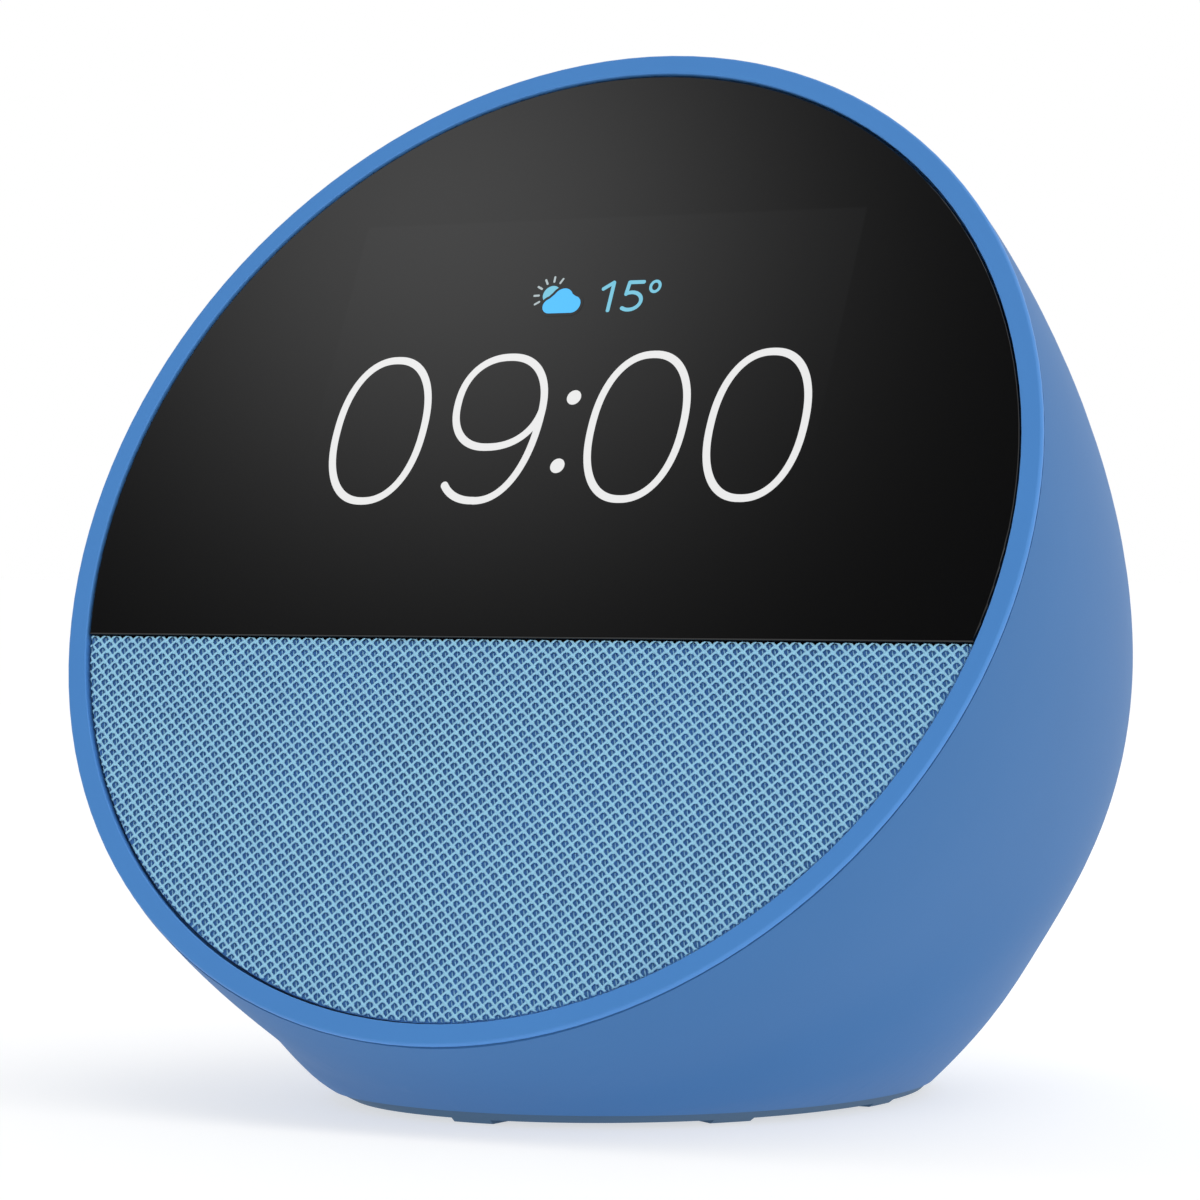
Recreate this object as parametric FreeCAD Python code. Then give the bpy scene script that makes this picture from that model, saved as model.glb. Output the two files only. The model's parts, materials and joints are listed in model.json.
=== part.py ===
import FreeCAD, Part
import math
import os
from functools import lru_cache
from FreeCAD import Placement, Rotation, Vector

# Smart display: a round tilted face on a domed housing with a small oval base.
# Millimetres, +Z up. The origin is on the floor under the middle of the object,
# and the face looks towards -Y, leaning back.

# ---- overall form ----
RING_R = 56.5             # outer radius of the face ring, half the overall width
FACE_TILT = 25.46         # lean of the face back from upright, degrees
DOME_DEPTH = 77.8         # depth of the dome behind the face plane
DOME_P = 1.458            # exponents of the dome's profile
DOME_Q = 3.724
CHIN_HEIGHT = 8.98        # floor to the lowest point of the face
CHIN_SETBACK = 12.16       # base's front edge behind the lowest point of the face
BASE_HALF_WIDTH = 28.74
BASE_LENGTH = 69.87
CHIN_FLARE = 0.49         # how early the chin runs down to the base, 0 to 1
SIDE_P = 1.674            # exponents of the width law from face to base
SIDE_Q = 1.401
SECTIONS = 16             # sections of the skin between face and base
CROWDING = 1.7            # above 1, the sections stand closer together near the face

# ---- housing ----
WALL = 2.2
PARTING_GAP = 0.15        # visible line between ring and housing
FIT_GAP = 0.1             # clearance between parts that plug together
RING_EDGE = 0.5           # height of the ring's visible side
RIM_WALL = 1.35           # housing wall left outside the ring's skirt
SKIRT_DEPTH = 4.8         # depth of the skirt that plugs into the housing
SHELL_LIFT = 1.35         # housing's lower edge above the floor
LEDGE_THICK = 2.5         # inner ledge that the base plate is screwed to
LEDGE_WIDTH = 10.0

# ---- face ----
RING_BAND = 2.26          # width of the ring's visible band
RING_ROUND = 0.3          # rounding of its outer edge
RING_INNER_ROUND = 0.15
LEDGE_BAND = 4.5          # ring's ledge, from the ring's outer edge inwards
LEDGE_R = RING_R - LEDGE_BAND
LEDGE_PLATE = 1.65        # thickness of the ring's ledge
GLASS_GAP = 0.2           # gap round the glass and the fabric
GLASS_SET = 0.2           # glass below the ring's front
GLASS_THICK = 1.15
GLASS_EDGE_ROUND = 0.2
BOND_THICK = 0.2          # adhesive under the glass
SPLIT_U = -12.2           # line between glass and fabric, below the face's middle
SPLIT_GAP = 0.12
FABRIC_SET = 0.3
FABRIC_THICK = 0.55
GRILLE_HOLE_R = 1.5
GRILLE_PITCH = 4.4

# ---- display ----
ACTIVE_HALF_W = 30.4
ACTIVE_TOP = 36.8
ACTIVE_HEIGHT = 38.4
PANEL_MARGIN = 1.4
PANEL_FOOT = 3.0          # wider lower margin for the driver chip
PANEL_THICK = 2.05
TRAY_GAP = 0.3
TRAY_WALL = 0.4
TRAY_FLOOR = 0.4
FOAM_WIDTH = 3.0
FLEX_HALF_W = 9.0
FLEX_THICK = 0.3

# ---- chassis ----
CHASSIS_FRONT = -5.4      # depth of the chassis plate's front face
CHASSIS_THICK = 2.0
CHASSIS_RIM = 1.2
BAR_WIDTH = 2.9           # crossbar under the glass's lower edge
SCREW_R = 0.95
PILOT_R = 1.0
SCREW_PLAY = 0.2          # a clearance hole's radius over the screw's
HEAD_R = 2.2
SMALL_HEAD_R = 1.9
HEAD_H = 1.2
RIM_SCREW_GRIP = 7.0      # screw length in the post it bites
BOARD_SCREW_GRIP = 3.4
KEY_SCREW_GRIP = 1.6
CARD_SCREW_GRIP = 5.0
FENCE_GAP = 0.3           # clearance between the speaker's flange and the fence round it
FENCE_WALL = 1.5
FLEX_PLAY = 1.0           # a slot's half width over the flex's
FLEX_SLOT_HALF = 0.8
FLEX_SLOT_U = 4.0
CHASSIS_OVERLAP = 1.3     # chassis plate's reach under the ring's ledge
RIM_BOSS_R = 3.4
RIM_BOSS_IN = 6.9         # rim bosses' centres inside the ring's radius
RIM_BOSS_LONG = 14.0
RIM_BOSS_ANGLES = (42, 138, 222, 318)

# ---- speaker ----
SPEAKER_U = -30.2
FLANGE_R = 22.0
FLANGE_THICK = 1.0
SURROUND_SPAN = 4.7       # cone's edge to the flange's edge
ROLL_R = 1.25             # half roll of the surround
LIP_IN = 1.1              # surround's lip on the cone
LIP_OUT = 0.6             # flange left outside the surround's lip
MOUTH_IN = 2.0            # flange's width under the gasket
SKIN = 0.3                # thickness of surround, spider and dust cap
COIL_R = 9.5
COIL_WALL = 0.2
COIL_GAP = 0.3
COIL_HIGH = 4.4           # coil's length in the yoke
COIL_BARE = 0.7           # former left bare below the winding
BASKET_WALL = 1.1
BASKET_LIP = 2.6          # basket's flange, seen from the front
BASKET_NECK = 1.8         # step from the spider's seat in to the neck
SPIDER_SPAN = 5.5
SPIDER_DEPTH = 6.8        # spider's seat below the flange
SPIDER_LIP = 2.0
SPIDER_WAVE = 0.35
BASKET_FLOOR_DEPTH = 2.0
CONE_SKIN = 0.45
CONE_NECK = 0.7           # height of the cone's neck on the coil
CONE_TRAVEL = 1.2         # stroke each way
TRAVEL_GAP = 0.2          # left between cone and spider at the end of the stroke
CAP_RISE = 2.4
MAGNET_SLOT = 1.5         # slot between the coil and the yoke's wall
YOKE_WALL = 2.0
YOKE_FLOOR = 2.5
YOKE_STEP = 1.0           # yoke's rim below the basket's floor
YOKE_ROUND = 0.6
POLE_STEP = 0.5
POLE_THICK = 2.0
MAGNET_INSET = 0.4
SPEAKER_DEPTH = 19.3      # basket front to yoke back
BASKET_WINDOWS = 6
SEAT_GAP = 0.05
ENCLOSURE_HALF_W = 30.0
ENCLOSURE_TOP = -6.0
ENCLOSURE_DEPTH = 29.0
ENCLOSURE_WALL = 1.6
INNER_CLEAR = 1.2         # clearance between inner boxes and the housing

# ---- electronics ----
BOARD_HALF_W = 31.0
BOARD_LOW = -2.0
BOARD_HIGH = 38.0
BOARD_THICK = 1.2
STANDOFF = 4.6
STANDOFF_R = 2.2
BOARD_HOLE_IN = 3.0
BOARD_CORNER = 2.0
SPREADER_THICK = 1.2
CAN_HEIGHT = 2.6
CAN_SHEET = 0.3
CAN_ROUND = 0.5
CAN_X = (-14.0, 12.0)
CAN_Y = (8.0, 30.0)
PAD_THICK = 1.0
PAD_INSET = 2.0
FIN_HIGH = 3.5
FIN_PITCH = 6
SPREADER_HALF_W = 22
SPREADER_LOW = 6
SPREADER_HIGH = 32
ANTENNA_THICK = 0.8
CONNECTOR_LOW = 1.5       # height of the flat flex connector
CONNECTOR_TOP = 1.6       # height of the button flex connector
CONNECTOR_HIGH = 3.2
LEAD_R = 0.6

# ---- buttons ----
BUTTON_DEPTH = 22.0       # button row behind the face plane, measured along the dome's axis
BUTTON_PITCH = 17.0
BUTTON_R = 4.2
BUTTON_GAP = 0.25
BUTTON_TRAVEL = 0.5
FLANGE_LAP = 0.8
BUTTON_FLANGE = -8.2      # flange's top below the dome's crest
BUTTON_FLANGE_THICK = 0.7
STEM_R = 1.2
MAT_THICK = 0.7
PRESS_CLEAR = 0.05
MAT_CLEAR = 0.1
KEY_HALF_WIDE = 7.0
KEY_BOSS_R = 2.0
KEY_END = 2.3             # key plates' length beyond their screws
BRACKET_THICK = 0.7
BRACKET_WALL = 1.0
KEY_BOARD_THICK = 1.2
SWITCH_HIGH = 2.1
SWITCH_HALF = 2.2
PLUNGER_HIGH = 0.6
PLUNGER_R = 1.0
MIC_HIGH = 0.9
STEM_PLAY = 0.3
MIC_HOLE_R = 0.5
MIC_TUBE_R = 1.8

# ---- power inlet ----
PORT_HEIGHT = 20.0
PORT_R = 5.0              # bore that the plug's body enters
PORT_LONG = 6.5
PORT_WALL = 2.2
PORT_FLOOR = 1.5
PORT_SLEEVE = 1.8         # housing's sleeve round the collar
JACK_HALF = 5.5
JACK_LONG = 12.0
JACK_BORE_R = 2.2
JACK_PIN_R = 0.8
JACK_NOSE_R = 3.5
JACK_FLOOR = 2.5
PORT_CARD_THICK = 1.2
PORT_CARD_HALF_W = 14.5
PORT_CARD_HALF_H = 7.0
PORT_POST_X = 11.5
PORT_POST_R = 2.2
LEAD_GAP = 0.15           # half gap between the two leads of a pair

# ---- base ----
PLATE_THICK = 2.15
PLATE_GAP = 0.2
FOOT_INSET = 0.3
FOOT_WIDTH = 11.2         # width of the soft ring
BASE_SCREW_STEP = 5.2     # base screws' centres inside the wall
BASE_SCREW_GRIP = 3.4
FOOT_GAP = 0.45           # height of the foot tabs
FOOT_TAB = 4.6
FOOT_ANGLES = (-90, -38, 0, 38, 90, 142, 180, 218)
BASE_SCREW_ANGLES = (40, 140, 220, 320)

# ---- places that follow from the sizes above ----
TILT = math.radians(FACE_TILT)
UP_FACE = Vector(0, math.sin(TILT), math.cos(TILT))
INWARD = Vector(0, math.cos(TILT), -math.sin(TILT))
RING_IN = RING_R - RING_BAND
SKIRT_R = RING_R - RIM_WALL - FIT_GAP
LEDGE_TOP = -(GLASS_SET + GLASS_THICK + BOND_THICK)
GLASS_R = RING_IN - GLASS_GAP
PANEL_BACK = LEDGE_TOP - PANEL_THICK
TRAY_BACK = PANEL_BACK - 0.1 - TRAY_FLOOR
CHASSIS_BACK = CHASSIS_FRONT - CHASSIS_THICK
PANEL_HALF_W = ACTIVE_HALF_W + PANEL_MARGIN
PANEL_HIGH = ACTIVE_TOP + PANEL_MARGIN
PANEL_LOW = ACTIVE_TOP - ACTIVE_HEIGHT - PANEL_FOOT
GASKET_THICK = 0.4
SURROUND_TOP = CHASSIS_BACK - GASKET_THICK
FLANGE_TOP = SURROUND_TOP - SKIN
FLANGE_BACK = FLANGE_TOP - FLANGE_THICK
CONE_R = FLANGE_R - SURROUND_SPAN
BOARD_FRONT = CHASSIS_BACK - STANDOFF
BOARD_BACK = BOARD_FRONT - BOARD_THICK
PLATE_TOP = SHELL_LIFT + PLATE_THICK
LEDGE_LOW = PLATE_TOP + 0.05
COLLAR_R = PORT_R + PORT_WALL
BASE_SCREW_IN = WALL + BASE_SCREW_STEP


def dome_radius(depth):
    """Radius of the dome's profile at a depth behind the face."""
    return RING_R * (1 - (depth / DOME_DEPTH) ** DOME_P) ** (1 / DOME_Q)


def rear_profile(steps=160):
    """Outline of the top and back, seen from the side, as points from the face's centre."""
    points = []
    for i in range(steps + 1):
        depth = DOME_DEPTH * math.sin(math.pi / 2 * i / steps)
        points.append(UP_FACE * dome_radius(depth) + INWARD * depth)
    nose = points[-1]
    chin_y = -RING_R * math.sin(TILT) + CHIN_SETBACK
    heel = Vector(0, chin_y + BASE_LENGTH, -RING_R * math.cos(TILT) - CHIN_HEIGHT)
    middle = nose - UP_FACE * (heel - nose).Length / 2
    for i in range(1, steps // 3 + 1):
        t = 3 * i / steps
        points.append(nose * (1 - t) ** 2 + middle * (2 * t * (1 - t)) + heel * t ** 2)
    return points


REAR = rear_profile()
CENTRE = Vector(0, (RING_R * math.sin(TILT) - max(p.y for p in REAR)) / 2,
                RING_R * math.cos(TILT) + CHIN_HEIGHT)
FACE = Placement(CENTRE, Rotation(Vector(1, 0, 0), 90 - FACE_TILT))
CHIN = Vector(0, -RING_R * math.sin(TILT), -RING_R * math.cos(TILT))
TOE = CHIN + Vector(0, CHIN_SETBACK, -CHIN_HEIGHT)


def along(points, share):
    """Point at a share of a polyline's length."""
    steps = [(b - a).Length for a, b in zip(points, points[1:])]
    left = share * sum(steps)
    for a, b, step in zip(points, points[1:], steps):
        if left <= step:
            return a + (b - a) * (left / step)
        left -= step
    return points[-1]


def oval_curve(front, rear, half_width, spots=16):
    """Smooth closed ellipse through a front and a rear point, starting at the front one."""
    middle = (front + rear) / 2
    arm = front - middle
    side = Vector(half_width, 0, 0)
    turns = [2 * math.pi * i / spots for i in range(spots)]
    curve = Part.BSplineCurve()
    curve.interpolate(Points=[middle + arm * math.cos(t) + side * math.sin(t) for t in turns],
                      PeriodicFlag=True, Parameters=[i / spots for i in range(spots + 1)])
    return curve


def oval(front, rear, half_width):
    return Part.Wire([oval_curve(front, rear, half_width).toShape()])


def skin_over(ovals):
    """Solid whose side runs smoothly through a row of ovals, closed by the first and the last."""
    ribs = []
    for poles in zip(*(curve.getPoles() for curve in ovals)):
        rib = Part.BSplineCurve()
        rib.interpolate(Points=list(poles), Parameters=[i / SECTIONS for i in range(SECTIONS + 1)])
        ribs.append(rib)
    hoop, rib = ovals[0], ribs[0]
    side = Part.BSplineSurface()
    side.buildFromPolesMultsKnots([r.getPoles() for r in ribs],
                                  hoop.getMultiplicities(), rib.getMultiplicities(),
                                  hoop.getKnots(), rib.getKnots(),
                                  True, False, hoop.Degree, rib.Degree)
    ends = [Part.Face(Part.Wire([curve.toShape()])) for curve in (ovals[0], ovals[-1])]
    shell = Part.makeShell([side.toShape()] + ends)
    shell.sewShape()
    solid = Part.Solid(shell)
    solid.fix(1e-6, 1e-6, 1e-6)
    if solid.Volume < 0:
        solid.reverse()
    return solid


@lru_cache(maxsize=None)
def body(inset=0.0):
    """Solid of the whole outer form, drawn in by an inset."""
    ovals = []
    for i in range(SECTIONS + 1):
        share = (i / SECTIONS) ** CROWDING
        rear = along(REAR, share)
        front = CHIN + (TOE - CHIN) * share ** CHIN_FLARE
        half = BASE_HALF_WIDTH + (RING_R - BASE_HALF_WIDTH) * (1 - share ** SIDE_P) ** (1 / SIDE_Q)
        step = (rear - front).normalize() * inset
        ovals.append(oval_curve(CENTRE + front + step, CENTRE + rear - step, half - inset))
    return skin_over(ovals)


def slab(low, high):
    """Everything between two heights above the floor."""
    reach = 3 * RING_R
    return Part.makeBox(2 * reach, 2 * reach, high - low, Vector(-reach, -reach, low))


def base_oval(inset, low, high):
    """Upright prism of the base's outline, drawn in by an inset."""
    front = CENTRE + TOE
    start = Vector(0, front.y + inset, low)
    end = Vector(0, front.y + BASE_LENGTH - inset, low)
    face = Part.Face(oval(start, end, BASE_HALF_WIDTH - inset))
    return face.extrude(Vector(0, 0, high - low))


def base_spot(angle, inset):
    """Point on the base's outline drawn in by an inset, at an angle from +X."""
    turn = math.radians(angle)
    middle = CENTRE.y + TOE.y + BASE_LENGTH / 2
    return Vector((BASE_HALF_WIDTH - inset) * math.cos(turn),
                  middle + (BASE_LENGTH / 2 - inset) * math.sin(turn), 0)


def on_face(shape):
    """Move a shape from face coordinates (x right, y up the face, z outwards)."""
    moved = shape.copy()
    moved.Placement = FACE.multiply(shape.Placement)
    return moved


def block(x, y, z):
    """Box from three (low, high) pairs."""
    return Part.makeBox(x[1] - x[0], y[1] - y[0], z[1] - z[0], Vector(x[0], y[0], z[0]))


def rod(radius, low, high, x=0.0, y=0.0):
    """Cylinder along z between two heights."""
    return Part.makeCylinder(radius, high - low, Vector(x, y, low))


def tube(outer, inner, low, high, x=0.0, y=0.0):
    return rod(outer, low, high, x, y).cut(rod(inner, low - 1, high + 1, x, y))


def turned(profile, x=0.0, y=0.0):
    """Ring from a closed (radius, height) outline turned about z."""
    points = [Vector(r, 0, z) for r, z in profile]
    face = Part.Face(Part.makePolygon(points + points[:1]))
    solid = face.revolve(Vector(0, 0, 0), Vector(0, 0, 1), 360)
    solid = Part.Solid(solid) if solid.ShapeType == "Shell" else solid
    solid.translate(Vector(x, y, 0))
    return solid


def join(shapes):
    """One solid from touching or overlapping shapes."""
    whole = shapes[0].multiFuse(shapes[1:])
    return whole.removeSplitter()


def group(shapes):
    """Separate solids that share a node."""
    return Part.Compound(shapes)


def round_edges(shape, radius, chosen):
    """Round the edges whose centre passes a test."""
    return shape.makeFillet(radius, [e for e in shape.Edges if chosen(e)])


def round_edge_at(shape, radius, edge_r, height):
    """Round the circular edges of one radius at one height."""
    def chosen(edge):
        curve = edge.Curve
        return (isinstance(curve, Part.Circle) and abs(curve.Radius - edge_r) < 0.01
                and abs(curve.Center.z - height) < 0.01)
    return round_edges(shape, radius, chosen)


def screw(x, y, head_top, reach, head_r=HEAD_R, shank_r=SCREW_R, head_h=HEAD_H):
    """Pan-head screw along -z with a hexalobe-sized drive recess."""
    head = rod(head_r, head_top - head_h, head_top, x, y)
    recess = rod(head_r * 0.45, head_top - head_h * 0.55, head_top + 1, x, y)
    shank = rod(shank_r, head_top - reach, head_top - head_h, x, y)
    return join([head.cut(recess), shank])


def cable(points, diameter):
    """Round lead through points: straight runs joined by tangent arcs."""
    spots = [Vector(*p) for p in points]
    edges = []
    start = spots[0]
    radii = []
    for before, corner, after in zip(spots, spots[1:], spots[2:]):
        back = before - corner
        ahead = after - corner
        half_turn = (math.pi - back.getAngle(ahead)) / 2
        cut = 0.45 * min(back.Length, ahead.Length)
        radii.append(cut / math.tan(half_turn))
        first = corner + back.normalize() * cut
        last = corner + ahead.normalize() * cut
        bisector = (back + ahead).normalize()
        centre_far = radii[-1] / math.cos(half_turn)
        middle = corner + bisector * (centre_far - radii[-1])
        edges.append(Part.makeLine(start, first))
        edges.append(Part.Arc(first, middle, last).toShape())
        start = last
    edges.append(Part.makeLine(start, spots[-1]))
    path = Part.Wire(edges)
    section = Part.Wire(Part.makeCircle(diameter / 2, spots[0], spots[1] - spots[0]))
    solid = path.makePipeShell([section], True, False)
    area = math.pi * diameter ** 2 / 4
    print("lead radii", [round(r, 1) for r in radii],
          "length", round(path.Length, 1), "volume share", round(solid.Volume / (area * path.Length), 3))
    return solid


def ribbon(points, half_width, thick=FLEX_THICK):
    """Flat flex folded along a path of (y, z) points."""
    runs = []
    for (y0, z0), (y1, z1) in zip(points, points[1:]):
        grow = thick / 2
        runs.append(block((-half_width, half_width),
                          (min(y0, y1) - grow, max(y0, y1) + grow),
                          (min(z0, z1) - grow, max(z0, z1) + grow)))
    return join(runs)


# ---- face parts ----

def bezel_ring():
    profile = [(RING_IN, 0), (RING_R, 0), (RING_R, -RING_EDGE), (SKIRT_R, -RING_EDGE),
               (SKIRT_R, -SKIRT_DEPTH), (SKIRT_R - RIM_WALL, -SKIRT_DEPTH),
               (SKIRT_R - RIM_WALL, LEDGE_TOP - LEDGE_PLATE), (LEDGE_R, LEDGE_TOP - LEDGE_PLATE),
               (LEDGE_R, LEDGE_TOP), (RING_IN, LEDGE_TOP)]
    ring = turned(profile)
    ring = round_edge_at(ring, RING_ROUND, RING_R, 0)
    return on_face(round_edge_at(ring, RING_INNER_ROUND, RING_IN, 0))


def face_segment(radius, low_z, high_z, above=None, below=None):
    """Round plate kept above or below a level on the face."""
    plate = rod(radius, low_z, high_z)
    far = 2 * RING_R
    if above is not None:
        plate = plate.cut(block((-far, far), (-far, above), (low_z - 1, high_z + 1)))
    if below is not None:
        plate = plate.cut(block((-far, far), (below, far), (low_z - 1, high_z + 1)))
    return plate


def cover_glass():
    top = -GLASS_SET
    plate = face_segment(GLASS_R, top - GLASS_THICK, top, above=SPLIT_U + SPLIT_GAP / 2)
    plate = round_edges(plate, GLASS_EDGE_ROUND, lambda e: abs(e.CenterOfMass.z - top) < 0.01)
    return on_face(plate)


def glass_adhesive():
    low = SPLIT_U + SPLIT_GAP
    outer = face_segment(GLASS_R - GLASS_GAP, LEDGE_TOP, LEDGE_TOP + BOND_THICK, above=low)
    inner = face_segment(LEDGE_R - 0.8, LEDGE_TOP - 1, LEDGE_TOP + 1, above=low + BAR_WIDTH)
    return on_face(outer.cut(inner))


def optical_bond():
    plate = block((-ACTIVE_HALF_W - 0.5, ACTIVE_HALF_W + 0.5),
                  (ACTIVE_TOP - ACTIVE_HEIGHT - 0.5, ACTIVE_TOP + 0.5),
                  (LEDGE_TOP, LEDGE_TOP + BOND_THICK))
    return on_face(plate)


def display_panel():
    return on_face(block((-PANEL_HALF_W, PANEL_HALF_W), (PANEL_LOW, PANEL_HIGH),
                         (PANEL_BACK, LEDGE_TOP)))


def display_tray():
    grow = TRAY_GAP + TRAY_WALL
    outer = block((-PANEL_HALF_W - grow, PANEL_HALF_W + grow), (PANEL_LOW - grow, PANEL_HIGH + grow),
                  (TRAY_BACK, PANEL_BACK + 1.4))
    hollow = block((-PANEL_HALF_W - TRAY_GAP, PANEL_HALF_W + TRAY_GAP),
                   (PANEL_LOW - TRAY_GAP, PANEL_HIGH + TRAY_GAP), (TRAY_BACK + TRAY_FLOOR, 0))
    notch = block((-FLEX_HALF_W - 1, FLEX_HALF_W + 1), (PANEL_LOW - 2, PANEL_LOW),
                  (TRAY_BACK + TRAY_FLOOR, 0))
    return on_face(outer.cut(hollow).cut(notch))


def display_foam():
    grow = TRAY_GAP + TRAY_WALL
    outer = block((-PANEL_HALF_W - grow, PANEL_HALF_W + grow), (PANEL_LOW - grow, PANEL_HIGH + grow),
                  (CHASSIS_FRONT, TRAY_BACK))
    inner = block((-PANEL_HALF_W + FOAM_WIDTH, PANEL_HALF_W - FOAM_WIDTH),
                  (PANEL_LOW + FOAM_WIDTH, PANEL_HIGH - FOAM_WIDTH), (CHASSIS_FRONT - 1, 0))
    notch = block((-FLEX_HALF_W - 1, FLEX_HALF_W + 1), (PANEL_LOW - 2, PANEL_LOW + FOAM_WIDTH + 1),
                  (CHASSIS_FRONT - 1, 0))
    return on_face(outer.cut(inner).cut(notch))


def display_flex():
    start = (LEDGE_TOP + PANEL_BACK) / 2
    fold = PANEL_LOW - 1.8
    behind = (TRAY_BACK + CHASSIS_FRONT) / 2
    path = [(PANEL_LOW - FLEX_THICK / 2, start), (fold, start), (fold, behind),
            (FLEX_SLOT_U, behind), (FLEX_SLOT_U, BOARD_FRONT + CONNECTOR_LOW + FLEX_THICK / 2)]
    return on_face(ribbon(path, FLEX_HALF_W))


def grille_holes(low_z, high_z, radius, pitch):
    """Rows of round holes over the lower part of the face, in a triangular pattern."""
    rows = int((RING_R + SPLIT_U) / (pitch * 0.866)) + 1
    limit = GLASS_R - GLASS_GAP - 3 * radius
    top = SPLIT_U - SPLIT_GAP - 2.5 * radius
    holes = []
    for row in range(rows):
        y = top - row * pitch * math.sqrt(3) / 2
        span = int(limit / pitch) + 1
        for column in range(-span, span + 1):
            x = (column + 0.5 * (row % 2)) * pitch
            if math.hypot(x, y) < limit:
                holes.append(rod(radius, low_z, high_z, x, y))
    return holes


def grille_plate():
    high = -(FABRIC_SET + FABRIC_THICK)
    plate = face_segment(GLASS_R, LEDGE_TOP, high, below=SPLIT_U - SPLIT_GAP / 2)
    return on_face(plate.cut(group(grille_holes(LEDGE_TOP - 1, high + 1, GRILLE_HOLE_R, GRILLE_PITCH))))


def grille_fabric():
    high = -FABRIC_SET
    plate = face_segment(GLASS_R, high - FABRIC_THICK, high, below=SPLIT_U - SPLIT_GAP / 2)
    return on_face(plate)


# ---- chassis ----

CHASSIS_R = LEDGE_R + CHASSIS_OVERLAP


def board_spots():
    """Centres of the main board's four screws."""
    inset = BOARD_HOLE_IN
    return [(x, y) for x in (inset - BOARD_HALF_W, BOARD_HALF_W - inset)
            for y in (BOARD_LOW + inset, BOARD_HIGH - inset)]


def rim_spots():
    """Centres of the screws that hold the chassis to the housing."""
    radius = RING_R - RIM_BOSS_IN
    return [(radius * math.cos(math.radians(a)), radius * math.sin(math.radians(a)))
            for a in RIM_BOSS_ANGLES]


def front_chassis():
    plate = rod(CHASSIS_R, CHASSIS_BACK, CHASSIS_FRONT)
    rim = tube(CHASSIS_R, CHASSIS_R - CHASSIS_RIM, CHASSIS_FRONT, LEDGE_TOP - LEDGE_PLATE)
    bar_top = SPLIT_U + SPLIT_GAP + BAR_WIDTH
    bar = block((-RING_R, RING_R), (SPLIT_U + SPLIT_GAP, bar_top), (CHASSIS_FRONT, LEDGE_TOP))
    bar = bar.common(rod(LEDGE_R - 0.2, CHASSIS_FRONT, 0))
    fence_in = FLANGE_R + FENCE_GAP
    fence = tube(fence_in + FENCE_WALL, fence_in, FLANGE_BACK, CHASSIS_BACK, 0, SPEAKER_U)
    posts = [rod(STANDOFF_R, BOARD_FRONT, CHASSIS_BACK, x, y) for x, y in board_spots()]
    chassis = join([plate, rim, bar, fence] + posts)
    mouth = FLANGE_R - MOUTH_IN
    cuts = [rod(mouth, CHASSIS_BACK - 1, CHASSIS_FRONT + 1, 0, SPEAKER_U)]
    cuts += [rod(PILOT_R, BOARD_FRONT - 1, CHASSIS_FRONT - 1, x, y) for x, y in board_spots()]
    hole = SCREW_R + SCREW_PLAY
    cuts += [rod(hole, CHASSIS_BACK - 1, CHASSIS_FRONT + 1, x, y) for x, y in rim_spots()]
    cuts.append(block((-FLEX_HALF_W - FLEX_PLAY, FLEX_HALF_W + FLEX_PLAY),
                      (FLEX_SLOT_U - FLEX_SLOT_HALF, FLEX_SLOT_U + FLEX_SLOT_HALF),
                      (CHASSIS_BACK - 1, CHASSIS_FRONT + 1)))
    return on_face(chassis.cut(group(cuts)))


def chassis_screws():
    return on_face(group([screw(x, y, CHASSIS_FRONT + HEAD_H, HEAD_H + CHASSIS_THICK + RIM_SCREW_GRIP)
                          for x, y in rim_spots()]))


# ---- speaker ----

def speaker_gasket():
    return on_face(tube(FLANGE_R, FLANGE_R - MOUTH_IN, SURROUND_TOP, CHASSIS_BACK, 0, SPEAKER_U))


SPIDER_SEAT = FLANGE_TOP - SPIDER_DEPTH
SPIDER_R = COIL_R + COIL_WALL + SPIDER_SPAN
BASKET_FLOOR = SPIDER_SEAT - BASKET_FLOOR_DEPTH
YOKE_IN = COIL_R + MAGNET_SLOT
YOKE_R = YOKE_IN + YOKE_WALL
YOKE_TOP = BASKET_FLOOR - YOKE_STEP
YOKE_BACK = FLANGE_TOP - SPEAKER_DEPTH
CONE_LIP = FLANGE_TOP - SEAT_GAP
CONE_FOOT = SPIDER_SEAT + SKIN + SPIDER_WAVE + CONE_TRAVEL + TRAVEL_GAP
CAP_SEAT = CONE_FOOT + CONE_NECK


def speaker_basket():
    wall = BASKET_WALL
    neck = SPIDER_R - BASKET_NECK
    lip = FLANGE_R - BASKET_LIP
    profile = [(lip, FLANGE_TOP), (FLANGE_R, FLANGE_TOP), (FLANGE_R, FLANGE_BACK),
               (FLANGE_R - 1.4, FLANGE_BACK), (SPIDER_R + 1.4, SPIDER_SEAT - 0.1),
               (neck + wall, SPIDER_SEAT - wall), (neck + wall, YOKE_TOP), (YOKE_IN + 0.4, YOKE_TOP),
               (YOKE_IN + 0.4, BASKET_FLOOR), (neck, BASKET_FLOOR), (neck, SPIDER_SEAT),
               (SPIDER_R + 0.2, SPIDER_SEAT), (lip, FLANGE_BACK + 0.1)]
    basket = turned(profile, 0, SPEAKER_U)
    windows = []
    for i in range(BASKET_WINDOWS):
        window = block((SPIDER_R - 1, FLANGE_R + 1), (-4.5, 4.5), (SPIDER_SEAT + 1.0, FLANGE_BACK - 0.7))
        window.rotate(Vector(0, 0, 0), Vector(0, 0, 1), 360 * i / BASKET_WINDOWS)
        window.translate(Vector(0, SPEAKER_U, 0))
        windows.append(window)
    return on_face(basket.cut(group(windows)))


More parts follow.
